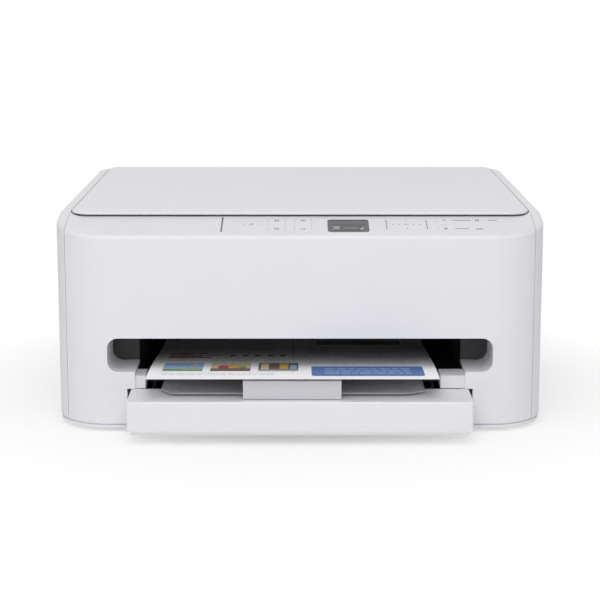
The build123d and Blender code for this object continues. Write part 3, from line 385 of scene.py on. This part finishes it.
node_finish = {
    "casing": ["base_tray", "left_side_cover", "right_side_cover", "rear_cover", "front_fascia",
               "rear_access_cover", "scanner_base", "scanner_bed", "cover_hinges",
               "document_cover"],
    "cassette": ["paper_cassette"],
    "keys": ["left_rocker", "middle_rocker", "right_rocker", "power_button", "arrow_pad",
             "ok_button"],
    "tray": ["output_tray"],
    "stop": ["output_stop"],
    "guides": ["left_paper_guide", "right_paper_guide", "length_guide"],
    "liner": ["output_chute"],
    "engine": ["left_side_frame", "right_side_frame", "platen", "spur_holder", "rear_paper_guide",
               "purge_unit", "pick_arm", "print_carriage", "scan_bar"],
    "supply": ["power_supply"],
    "acetal": ["guide_pinion", "idler_gear", "motor_pinion", "drive_pulley"],
    "levers": ["left_lock_lever", "right_lock_lever"],
    "black_ink": ["black_cartridge"],
    "colour_ink": ["colour_cartridge"],
    "display": ["display_window"],
    "light": ["status_light"],
    "rubber": ["rubber_feet", "pick_roller", "eject_roller", "carriage_belt"],
    "steel": ["carriage_rail"],
    "shaft": ["feed_roller", "scan_rail", "spur_wheels"],
    "motor": ["carriage_motor", "feed_motor", "scan_motor"],
    "screw": ["casing_screws"],
    "board": ["control_board", "main_board"],
    "glass": ["scanner_glass"],
    "foam": ["document_pad"],
    "paper": ["printed_sheet"],
}


# Modelling helpers

def deselect():
    """Leaves edit mode and selects nothing."""
    if bpy.context.object and bpy.context.object.mode != "OBJECT":
        bpy.ops.object.mode_set(mode="OBJECT")
    bpy.ops.object.select_all(action="DESELECT")


def seat(name, body, finish=None):
    """Names the active piece, applies its place, gives it a finish and lets it ride on a body."""
    if bpy.context.object.mode != "OBJECT":
        bpy.ops.object.mode_set(mode="OBJECT")
    piece = bpy.context.object
    piece.name = name
    piece.data.name = name
    bpy.ops.object.transform_apply(location=True, rotation=True, scale=True)
    if finish:
        piece.data.materials.clear()
        piece.data.materials.append(finishes[finish])
    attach(piece, body)
    return piece


def on_shelf(x, depth, lift):
    """A point above the shelf's surface, from X and depth in millimetres and a lift in metres."""
    up = Vector((0, -math.sin(shelf_angle), math.cos(shelf_angle)))
    base = Vector((x * mm, front + depth * mm, shelf_front + depth * mm * math.tan(shelf_angle)))
    return base + up * lift


def sheet_height(depth):
    """The height of the sheet's underside, flat at its back and raised to its front."""
    flat = 35.6
    flat_end, bend_start, crest = 168.0, 120.0, 50.0
    rise, droop = 0.097, 0.00083
    bend_rise = rise * (flat_end - bend_start) / 2
    if depth >= flat_end:
        height = flat
    elif depth >= bend_start:
        height = flat + rise * (flat_end - depth) ** 2 / (2 * (flat_end - bend_start))
    elif depth >= crest:
        height = flat + bend_rise + rise * (bend_start - depth)
    else:
        run = crest - depth
        height = flat + bend_rise + rise * (bend_start - crest + run) - droop * run**2 / 2
    return height * mm


def framed(ink, x, y, width, height, stroke):
    """Four bars that make a frame."""
    across, up = (width - stroke) / 2, (height - stroke) / 2
    return [
        (ink, "bar", x, y + up, width, stroke, 0),
        (ink, "bar", x, y - up, width, stroke, 0),
        (ink, "bar", x - across, y, stroke, height, 0),
        (ink, "bar", x + across, y, stroke, height, 0),
    ]


def overlaps(mark, other):
    """Whether two marks lie over each other, judged by their upright boxes."""
    gap_x = abs(mark[2] - other[2]) - (mark[4] + other[4]) / 2
    gap_y = abs(mark[3] - other[3]) - (mark[5] + other[5]) / 2
    return gap_x < 0 and gap_y < 0


def layers_of(marks):
    """The layer of each mark: one above the highest earlier mark that it lies over."""
    layers = []
    for index, mark in enumerate(marks):
        under = [layers[i] + 1 for i in range(index) if overlaps(mark, marks[i])]
        layers.append(max(under, default=0))
    return layers


def print_marks(name, body, marks, surface):
    """One thin print of many marks, each (ink, shape, x, y, width, height, turn in degrees).

    A shape is bar, disc, ring or triangle. surface(x, y, lift) gives the point above a place on
    what is printed, in millimetres but for the lift, and every corner of the print is laid on it.
    """
    deselect()
    bpy.ops.object.add(type="MESH", location=(0, 0, 0))
    piece = bpy.context.object
    inks = sorted({mark[0] for mark in marks})
    for ink in inks:
        piece.data.materials.append(finishes[ink])
    bpy.ops.object.mode_set(mode="EDIT")
    for (ink, shape, x, y, width, height, turn), layer in zip(marks, layers_of(marks)):
        bpy.ops.mesh.select_all(action="DESELECT")
        if shape == "bar":
            rows = 1 + int(height / bend_step)
            bpy.ops.mesh.primitive_grid_add(x_subdivisions=1, y_subdivisions=rows, size=1.0)
        elif shape == "ring":
            bpy.ops.mesh.primitive_circle_add(vertices=20, radius=0.5)
            bpy.ops.mesh.extrude_edges_move()
            bpy.ops.transform.resize(value=(0.72, 0.72, 0.72), center_override=(0, 0, 0))
            bpy.ops.mesh.select_linked()
        else:
            corners = 3 if shape == "triangle" else 20
            bpy.ops.mesh.primitive_circle_add(vertices=corners, radius=0.5, fill_type="NGON")
        bpy.ops.transform.resize(value=(width * mm, height * mm, 1), center_override=(0, 0, 0))
        if turn:
            bpy.ops.transform.rotate(
                value=-math.radians(turn), orient_axis="Z", center_override=(0, 0, 0))
        bpy.ops.transform.translate(value=(x * mm, y * mm, layer * ink_step))
        piece.active_material_index = inks.index(ink)
        bpy.ops.object.material_slot_assign()
    bpy.ops.mesh.select_all(action="DESELECT")
    bpy.ops.object.mode_set(mode="OBJECT")
    for face in piece.data.polygons:
        face.select = face.normal.z < 0
    bpy.ops.object.mode_set(mode="EDIT")
    bpy.ops.mesh.flip_normals()
    bpy.ops.object.mode_set(mode="OBJECT")
    lift = bpy.context.scene.printer_sheet.print_lift
    for vertex in piece.data.vertices:
        vertex.co = surface(vertex.co.x / mm, vertex.co.y / mm, lift + vertex.co.z)
    return seat(name, body)


# Pieces

class PRINTER_OT_stage(bpy.types.Operator):
    """Sets the camera, the soft studio light, the pale floor and the white surroundings"""

    bl_idname = "printer.stage"
    bl_label = "Stage"

    camera_place = (0, -1.45774, 0.34873)

    def execute(self, context):
        settings = context.scene.printer_stage
        deselect()
        bpy.ops.object.camera_add(location=self.camera_place,
                                  rotation=(math.pi / 2 - settings.pitch, 0, 0))
        camera = context.object
        camera.data.lens = settings.lens
        camera.data.sensor_width = 36.0
        context.scene.camera = camera
        side = settings.side_power
        self.add_light("key light", (-0.2, -1.2, 2.1), (0, 0, 0.08), 2.2, settings.key_power)
        self.add_light("front light", (-0.1, -2.3, 0.75), (0, 0, 0.06), 1.3, settings.front_power)
        self.add_light("left light", (-2.0, -0.9, 0.9), (0, 0, 0.08), 1.6, side)
        self.add_light("right light", (2.0, -0.9, 0.9), (0, 0, 0.08), 1.6, side)
        self.add_light("rear light", (0, 2.2, 1.4), (0, 0, 0.08), 1.8, side)
        self.add_floor()
        self.light_world(context.scene, settings.ambient)
        context.scene.view_settings.view_transform = "Standard"
        return {"FINISHED"}

    def add_light(self, name, place, target, size, power):
        """One square softbox that faces the printer."""
        aim = (Vector(target) - Vector(place)).to_track_quat("-Z", "Y").to_euler()
        bpy.ops.object.light_add(type="AREA", location=place, rotation=aim)
        lamp = bpy.context.object
        lamp.name = name
        lamp.data.size = size
        lamp.data.energy = power

    def add_floor(self):
        """A round white floor that keeps the printer's shadow and melts into the white far off."""
        bpy.ops.mesh.primitive_circle_add(
            vertices=96, radius=6.0, fill_type="NGON", location=(0, 0, 0))
        floor = bpy.context.object
        floor.name = "floor"
        finish = bpy.data.materials.new("matt white floor")
        finish.use_nodes = True
        tree = finish.node_tree
        shader = tree.nodes["Principled BSDF"]
        shader.inputs["Base Color"].default_value = linear("FAFAFA")
        shader.inputs["Roughness"].default_value = 0.9
        place = add_node(tree, "ShaderNodeTexCoord").outputs["Object"]
        spread = add_node(tree, "ShaderNodeVectorMath", {0: place}, operation="LENGTH")
        far = add_node(tree, "ShaderNodeMapRange",
                       {"Value": spread.outputs["Value"], "From Min": 0.06, "From Max": 0.32})
        seen = add_node(tree, "ShaderNodeLightPath").outputs["Is Camera Ray"]
        blend = add_node(tree, "ShaderNodeMath", {0: far.outputs["Result"], 1: seen},
                         operation="MULTIPLY")
        glow = add_node(tree, "ShaderNodeEmission", {"Color": (1, 1, 1, 1), "Strength": 1.0})
        mixed = add_node(tree, "ShaderNodeMixShader",
                         {0: blend.outputs["Value"], 1: shader.outputs["BSDF"],
                          2: glow.outputs["Emission"]})
        tree.links.new(mixed.outputs["Shader"], tree.nodes["Material Output"].inputs["Surface"])
        floor.data.materials.append(finish)

    def light_world(self, scene, ambient):
        """An even ambient light, seen as plain white by the camera, in gloss and through glass."""
        world = bpy.data.worlds.new("white surroundings")
        scene.world = world
        world.use_nodes = True
        tree = world.node_tree
        path = add_node(tree, "ShaderNodeLightPath")
        sight = add_node(tree, "ShaderNodeMath",
                         {0: path.outputs["Is Camera Ray"], 1: path.outputs["Is Transmission Ray"]},
                         operation="MAXIMUM")
        sight = add_node(tree, "ShaderNodeMath",
                         {0: sight.outputs["Value"], 1: path.outputs["Is Glossy Ray"]},
                         operation="MAXIMUM")
        strength = add_node(tree, "ShaderNodeMapRange",
                            {"Value": sight.outputs["Value"], "To Min": ambient, "To Max": 1.0})
        background = tree.nodes["Background"]
        background.inputs["Color"].default_value = (1, 1, 1, 1)
        tree.links.new(strength.outputs["Result"], background.inputs["Strength"])


class PRINTER_OT_finish_nodes(bpy.types.Operator):
    """Gives each node of the CAD frame the finish of its real material"""

    bl_idname = "printer.finish_nodes"
    bl_label = "Finish the CAD nodes"

    def execute(self, context):
        make_finishes(context.scene.printer_colours)
        listed = [node for names in node_finish.values() for node in names]
        if sorted(listed) != sorted(nodes):
            raise RuntimeError(f"nodes without one finish: {sorted(set(nodes) ^ set(listed))}")
        for finish, names in node_finish.items():
            for name in names:
                nodes[name].data.materials.clear()
                nodes[name].data.materials.append(finishes[finish])
        return {"FINISHED"}


class PRINTER_OT_sheet(bpy.types.Operator):
    """Models the thin sheet of paper that lies in the output tray"""

    bl_idname = "printer.sheet"
    bl_label = "Sheet of paper"

    def execute(self, context):
        settings = context.scene.printer_sheet
        deselect()
        bpy.ops.mesh.primitive_grid_add(x_subdivisions=4, y_subdivisions=62, size=1.0)
        sheet = context.object
        bpy.ops.object.mode_set(mode="EDIT")
        bpy.ops.transform.resize(value=(paper_width, paper_length, 1), center_override=(0, 0, 0))
        middle = front + paper_front * mm + paper_length / 2
        bpy.ops.transform.translate(value=(paper_middle, middle, 0))
        bpy.ops.object.mode_set(mode="OBJECT")
        for vertex in sheet.data.vertices:
            vertex.co.z = sheet_height((vertex.co.y - front) / mm)
        thick = sheet.modifiers.new("thickness", "SOLIDIFY")
        thick.thickness = settings.thickness
        thick.offset = 1.0
        bpy.ops.object.modifier_apply(modifier=thick.name)
        bpy.ops.object.shade_smooth_by_angle(angle=math.radians(30))
        seat("printed_sheet_paper", "printed_sheet", "paper")
        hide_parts("printed_sheet")
        return {"FINISHED"}


def sheet_marks(seed):
    """The generic print on the sheet, counted from the sheet's middle and from its front edge."""
    draw = random.Random(seed)
    marks = []

    def lines(ink, left, right, first, count, pitch, height, word=7.0):
        """Rows of short bars that stand for lines of text."""
        for row in range(count):
            x = left
            while x < right - 2:
                width = min(draw.uniform(0.35, 1.0) * word, right - x)
                marks.append((ink, "bar", x + width / 2, first + row * pitch, width, height, 0))
                x += width + 1.4

    def picture(x, y, width, height, ground, shapes):
        """A small generic picture of a ground and flat shapes on it."""
        marks.append((ground, "bar", x, y, width, height, 0))
        for ink, shape, dx, dy, w, h, turn in shapes:
            marks.append((ink, shape, x + dx * width, y + dy * height, w * width, h * height, turn))

    lines("ink_grey", -98, -14, 16, 2, 5, 0.9)
    hills = [("ink_dark", "triangle", -0.24, -0.12, 0.62, 0.7, 0),
             ("ink_grey", "triangle", 0.2, -0.2, 0.7, 0.5, 0),
             ("ink_green", "bar", 0, -0.4, 1, 0.2, 0),
             ("ink_sand", "disc", 0.3, 0.3, 0.16, 0.22, 0)]
    bowl = [("ink_brown", "bar", 0, -0.34, 1, 0.32, 0),
            ("ink_red", "disc", -0.18, -0.04, 0.3, 0.4, 0),
            ("ink_yellow", "disc", 0.08, 0.02, 0.3, 0.4, 0),
            ("ink_green", "disc", 0.3, -0.06, 0.22, 0.3, 0),
            ("ink_dark", "bar", 0.02, -0.24, 0.7, 0.12, 0)]
    street = [("ink_sand", "bar", -0.34, 0.05, 0.2, 0.7, 0),
              ("ink_brown", "bar", -0.1, -0.05, 0.18, 0.6, 0),
              ("ink_yellow", "bar", 0.14, 0.08, 0.22, 0.66, 0),
              ("ink_sky", "bar", 0.38, -0.02, 0.16, 0.5, 0),
              ("ink_grey", "bar", 0, -0.42, 1, 0.16, 0)]
    for x, ground, shapes in ((-83, "ink_sky", hills), (-47, "ink_sand", bowl),
                              (-11, "ink_dark", street)):
        picture(x, 49, 30, 38, ground, shapes)
    lines("ink_dark", -98, -2, 78, 2, 6, 1.2, 9)
    chart = (("ink_red", 34), ("ink_red", 26), ("ink_yellow", 40), ("ink_green", 18),
             ("ink_red", 30))
    for step, (ink, length) in enumerate(chart):
        marks.append((ink, "bar", -98 + length / 2, 100 + 7 * step, length, 4.4, 0))
    for step in range(5):
        marks.append(("ink_red", "disc", -48 + 10 * step, 112, 5, 9, 0))
    marks.append(("ink_grey", "bar", 0, 140, 0.5, 236, 0))
    # The blue panel is two crossing bars, with discs for its round corners
    panel_x, panel_y = 56, 31
    marks.append(("ink_blue", "bar", panel_x, panel_y, 78, 40, 0))
    marks.append(("ink_blue", "bar", panel_x, panel_y, 84, 34, 0))
    for dx in (-39, 39):
        for dy in (-17, 17):
            marks.append(("ink_blue", "disc", panel_x + dx, panel_y + dy, 6, 6, 0))
    lines("ink_pale", 24, 88, 22, 3, 9, 1.6, 11)
    lines("ink_grey", 12, 98, 62, 6, 5.5, 0.9)
    lines("ink_dark", 40, 98, 100, 2, 7, 1.4, 9)
    lines("ink_grey", 12, 98, 118, 9, 6, 0.9)
    picture(54, 205, 70, 44, "ink_sky", [("ink_green", "bar", 0, -0.32, 1, 0.36, 0),
                                         ("ink_sand", "triangle", 0.2, 0, 0.4, 0.6, 0)])
    lines("ink_grey", -98, -12, 146, 12, 6, 0.9)
    marks.append(("ink_blue", "bar", -56, 240, 84, 12, 0))
    lines("ink_grey", 12, 98, 240, 4, 6, 0.9)
    return marks


class PRINTER_OT_sheet_print(bpy.types.Operator):
    """Lays a generic print of pictures, bars and lines on the sheet"""

    bl_idname = "printer.sheet_print"
    bl_label = "Print on the sheet"

    def execute(self, context):
        settings = context.scene.printer_sheet

        def surface(x, y, lift):
            depth = y + paper_front
            height = sheet_height(depth) + settings.thickness + lift
            return Vector((paper_middle + x * mm, front + depth * mm, height))

        print_marks("sheet_print", "printed_sheet", sheet_marks(settings.seed),
                    surface)
        return {"FINISHED"}


class PRINTER_OT_key_prints(bpy.types.Operator):
    """Prints small generic marks on the keys and on the shelf beside them, with pairs of small dark
    bars of painted shade beside many symbols
    """

    bl_idname = "printer.key_prints"
    bl_label = "Prints on the keys"

    def execute(self, context):
        for body, marks in self.marks_of_bodies().items():
            print_marks(f"{body}_print", body, marks, on_shelf)
        return {"FINISHED"}

    def marks_of_bodies(self):
        """The marks that ride on each body, in X and depth on the shelf."""
        ink, stroke = "key_print", 0.55
        page = framed(ink, 0, 0, 3.0, 3.8, stroke) + [(ink, "bar", 0, 0.6, 1.6, stroke, 0)]
        grid = [(ink, "bar", 0, d, 3.6, stroke, 0) for d in (-1.3, 0, 1.3)]
        cards = framed(ink, -0.5, 0.5, 3.0, 2.4, stroke) + [(ink, "bar", 1.2, -1.2, 2.2, stroke, 0)]
        dial = [(ink, "ring", 0, 0, 2.8, 2.8, 0), (ink, "bar", 0, 2.0, stroke, 1.2, 0)]
        swirl = [(ink, "ring", 0, 0, 3.2, 3.2, 0), (ink, "triangle", 1.6, 0.6, 1.4, 1.4, 30)]
        dots = [(ink, "disc", d, 0, 0.7, 0.7, 0) for d in (-1.4, 0, 1.4)]
        spot = [(ink, "disc", 0, 0, 2.6, 2.6, 0)]

        def put(shapes, x, depth, shade_mark_offset=6.0):
            """Places a symbol, and the two small dark bars that flank it at that distance if it has
            any: painted shade, for the shade at the round ends of a raised key.
            """
            placed = [(i, s, x + dx, depth + dy, w, h, t) for i, s, dx, dy, w, h, t in shapes]
            # The flanking bars are painted shade at the ends of the key, drawn in the ink of the
            # print
            if shade_mark_offset:
                placed += [(ink, "bar", x + side, depth, 0.35, 1.8, 0) for side in (-shade_mark_offset, shade_mark_offset)]
            return placed

        arrows = [(0, 10.7, 0), (-10.1, 0, 90), (10.2, 0.2, -90), (0.2, -9.5, 180)]
        pad = [(ink, "triangle", 80.5 + dx, 26.1 + dy, 1.9, 1.9, turn) for dx, dy, turn in arrows]
        return {
            "power_button": put(dial, -36.8, 25.9, 5.4),
            "left_rocker": put(page, -17.7, 35.3) + put(cards, -17.5, 15.6),
            "middle_rocker": put(grid, 2.2, 35.3) + put(swirl, 2.2, 15.6),
            "right_rocker": [
                *put(dial, 109.8, 35.6, 5.3), *put(dots, 109.3, 26.1, 0),
                *put(spot, 109.7, 16.1, 5.3),
            ],
            # The two short bars beside the OK key are painted shade at its ends
            "arrow_pad": pad + [(ink, "bar", x, 26.1, stroke, 1.8, 0) for x in (74.9, 86.0)],
            "ok_button": put([(ink, "ring", 0, 0, 3.0, 2.4, 0)], 80.5, 26.1, 0),
            "casing": [
                (ink, "bar", 65.4, 26.0, 0.5, 22.0, 0), (ink, "bar", 95.9, 26.0, 0.5, 22.0, 0),
                (ink, "bar", 123.5, 35.6, 13.0, 0.9, 0), (ink, "bar", 146.5, 35.6, 7.0, 0.9, 0),
                (ink, "bar", 122.0, 16.1, 10.0, 0.9, 0), (ink, "bar", 135.1, 15.6, 5.0, 1.6, 0),
                *put(page, 134.8, 35.6, 5.3),
            ],
        }


class PRINTER_OT_display(bpy.types.Operator):
    """Draws the generic marks that show through the display window"""

    bl_idname = "printer.display"
    bl_label = "Display marks"

    def execute(self, context):
        marks = [
            ("screen", "bar", 36.4, 19.5, 24.0, 14.0, 0),
            ("screen_marks", "bar", 27.5, 21.0, 6.0, 0.8, 0),
            ("screen_marks", "bar", 27.5, 18.6, 4.4, 0.8, 0),
            ("screen_marks", "bar", 27.5, 16.2, 5.2, 0.8, 0),
            ("screen_marks", "bar", 38.5, 18.0, 12.0, 0.5, 0),
            ("screen_marks", "bar", 47.2, 17.5, 0.8, 5.5, 0),
            ("screen_marks", "bar", 45.7, 16.0, 0.8, 2.5, 0),
        ]

        def surface(x, y, lift):
            return on_shelf(x, y, lift - window_sink)

        print_marks("display_marks", "casing", marks, surface)
        return {"FINISHED"}


class PRINTER_OT_inner_prints(bpy.types.Operator):
    """Labels the cartridges and marks the corner that a document is laid to, all without words"""

    bl_idname = "printer.inner_prints"
    bl_label = "Labels inside"

    def execute(self, context):
        cartridge_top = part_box("black_cartridge")[1].z
        bed_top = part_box("scanner_bed")[1].z

        def level(height):
            return lambda x, y, lift: Vector((x * mm, front + y * mm, height + lift))

        labels = []
        for node, dots in (("black_cartridge", ["ink_dark"]),
                           ("colour_cartridge", ["ink_blue", "ink_red", "ink_yellow"])):
            low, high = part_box(node)
            middle = (low.x + high.x) / 2 / mm
            labels.append(("label", "bar", middle, 184, 22, 38, 0))
            for step, ink in enumerate(dots):
                aside = 6 * (step - (len(dots) - 1) / 2)
                labels.append((ink, "disc", middle + aside, 172, 4, 4, 0))
            labels.append(("ink_grey", "bar", middle, 192, 15, 0.9, 0))
            labels.append(("ink_grey", "bar", middle, 188, 15, 0.9, 0))
        print_marks("cartridge_labels", "print_carriage", labels, level(cartridge_top))
        corner = [("key_print", "triangle", 152.5, 65.5, 5.0, 5.0, -135)]
        corner += [("key_print", "bar", 147 - step, 67.5, 0.5, 3.0, 0) for step in (148, 210, 279)]
        print_marks("scanner_bed_print", "scanner", corner, level(bed_top))
        return {"FINISHED"}


class PRINTER_OT_terminals(bpy.types.Operator):
    """Models the metal shell of the data socket and the plated sleeves on the inlet's two pins"""

    bl_idname = "printer.terminals"
    bl_label = "Metal terminals"

    def execute(self, context):
        self.make_shell()
        self.make_bezel()
        self.make_sleeves()
        return {"FINISHED"}

    def put_in_socket(self, depth):
        """Moves what is selected from the origin to the socket's middle, at a depth."""
        x, z = socket_place
        bpy.ops.transform.translate(value=(x * mm, front + depth, z * mm))

    def make_shell(self):
        """A folded shell with rounded long edges, open at its back, that lines the socket."""
        width, height, length, wall = 7.7 * mm, 5.7 * mm, 11.0 * mm, 0.35 * mm
        deselect()
        bpy.ops.mesh.primitive_cube_add(size=1.0, location=(0, 0, 0))
        shell = bpy.context.object
        bpy.ops.object.mode_set(mode="EDIT")
        bpy.ops.transform.resize(value=(width, length, height), center_override=(0, 0, 0))
        bpy.ops.mesh.select_mode(type="EDGE")
        bpy.ops.mesh.select_all(action="DESELECT")
        bpy.ops.object.mode_set(mode="OBJECT")
        for edge in shell.data.edges:
            a, b = (shell.data.vertices[i].co for i in edge.vertices)
            edge.select = abs(a.y - b.y) > length / 2
        bpy.ops.object.mode_set(mode="EDIT")
        bpy.ops.mesh.bevel(offset=0.9 * mm, segments=4, affect="EDGES")
        bpy.ops.mesh.select_mode(type="FACE")
        bpy.ops.mesh.select_all(action="DESELECT")
        bpy.ops.object.mode_set(mode="OBJECT")
        for face in shell.data.polygons:
            face.select = face.normal.y > 0.9
        bpy.ops.object.mode_set(mode="EDIT")
        bpy.ops.mesh.delete(type="ONLY_FACE")
        bpy.ops.mesh.select_all(action="SELECT")
        self.put_in_socket(socket_mouth - length / 2)
        bpy.ops.object.mode_set(mode="OBJECT")
        folded = shell.modifiers.new("wall", "SOLIDIFY")
        folded.thickness = wall
        folded.offset = -1.0
        bpy.ops.object.modifier_apply(modifier=folded.name)
        bpy.ops.object.shade_smooth_by_angle(angle=math.radians(30))
        seat("data_socket_shell", "casing", "nickel")

    def make_bezel(self):
        """The black face of the data socket, a thin plate with the shell's opening in it."""
        deselect()
        bpy.ops.mesh.primitive_plane_add(size=1.0, location=(0, 0, 0))
        bezel = bpy.context.object
        bpy.ops.object.mode_set(mode="EDIT")
        bpy.ops.transform.resize(value=(11.9 * mm, 10.9 * mm, 1), center_override=(0, 0, 0))
        bpy.ops.transform.rotate(value=math.pi / 2, orient_axis="X", center_override=(0, 0, 0))
        bpy.ops.mesh.inset(thickness=2.1 * mm)
        bpy.ops.transform.resize(value=(1, 1, 0.86), center_override=(0, 0, 0))
        bpy.ops.mesh.delete(type="ONLY_FACE")
        bpy.ops.mesh.select_all(action="SELECT")
        self.put_in_socket(socket_face)
        bpy.ops.object.mode_set(mode="OBJECT")
        plate = bezel.modifiers.new("thickness", "SOLIDIFY")
        plate.thickness = 0.3 * mm
        plate.offset = -1.0
        bpy.ops.object.modifier_apply(modifier=plate.name)
        seat("data_socket_bezel", "casing", "supply")

    def make_sleeves(self):
        """Two plated sleeves with rounded tips, over the solid pins of the inlet."""
        length = 10.0 * mm
        deselect()
        bpy.ops.object.add(type="MESH", location=(0, 0, 0))
        bpy.ops.object.mode_set(mode="EDIT")
        for x in inlet_pins:
            bpy.ops.mesh.select_all(action="DESELECT")
            bpy.ops.mesh.primitive_cylinder_add(vertices=24, radius=1.16 * mm, depth=length)
            bpy.ops.mesh.bevel(offset=0.4 * mm, segments=3, affect="EDGES")
            bpy.ops.mesh.select_linked()
            bpy.ops.transform.rotate(
                value=-math.pi / 2, orient_axis="X", center_override=(0, 0, 0))
            middle = front + inlet_tips - length / 2
            bpy.ops.transform.translate(value=(x * mm, middle, inlet_height * mm))
        bpy.ops.object.mode_set(mode="OBJECT")
        bpy.ops.object.shade_smooth_by_angle(angle=math.radians(40))
        seat("mains_inlet_sleeves", "casing", "nickel")


class PRINTER_OT_document_pad(bpy.types.Operator):
    """Models the foam pad under the lid, with its soft round edges"""

    bl_idname = "printer.document_pad"
    bl_label = "Document pad"

    def execute(self, context):
        low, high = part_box("document_pad")
        deselect()
        bpy.ops.mesh.primitive_cube_add(size=1.0, location=(low + high) / 2, scale=high - low)
        bpy.ops.object.transform_apply(location=True, rotation=True, scale=True)
        pad = context.object
        corner = pad.modifiers.new("round edge", "BEVEL")
        corner.width = 1.3 * mm
        corner.segments = 4
        bpy.ops.object.modifier_apply(modifier=corner.name)
        bpy.ops.object.shade_smooth_by_angle(angle=math.radians(40))
        seat("document_pad_foam", "document_cover", "foam")
        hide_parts("document_pad")
        return {"FINISHED"}


class PRINTER_PT_panel(bpy.types.Panel):
    """Lists the printer's pieces and their settings"""

    bl_label = "Printer"
    bl_space_type = "VIEW_3D"
    bl_region_type = "UI"
    bl_category = "Printer"

    def draw(self, context):
        for step in steps:
            self.layout.operator(step.bl_idname)
        for name, group in groups.items():
            box = self.layout.box()
            for setting in group.__annotations__:
                box.prop(getattr(context.scene, name), setting)


groups = {
    "printer_colours": PrinterColours, "printer_sheet": PrinterSheet, "printer_stage": PrinterStage,
}
steps = (
    PRINTER_OT_stage, PRINTER_OT_finish_nodes, PRINTER_OT_sheet, PRINTER_OT_sheet_print,
    PRINTER_OT_key_prints, PRINTER_OT_display, PRINTER_OT_inner_prints, PRINTER_OT_terminals,
    PRINTER_OT_document_pad,
)


def register():
    """Registers the settings, the operators and the panel."""
    for group in groups.values():
        bpy.utils.register_class(group)
    for step in (*steps, PRINTER_PT_panel):
        bpy.utils.register_class(step)
    for name, group in groups.items():
        setattr(bpy.types.Scene, name, bpy.props.PointerProperty(type=group))


def unregister():
    """Takes them all away again."""
    for name in groups:
        delattr(bpy.types.Scene, name)
    for step in reversed((*steps, PRINTER_PT_panel)):
        bpy.utils.unregister_class(step)
    for group in groups.values():
        bpy.utils.unregister_class(group)


def main():
    """Registers the add-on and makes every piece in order."""
    register()
    for step in steps:
        area, name = step.bl_idname.split(".")
        getattr(getattr(bpy.ops, area), name)()


if __name__ == "__main__":
    main()
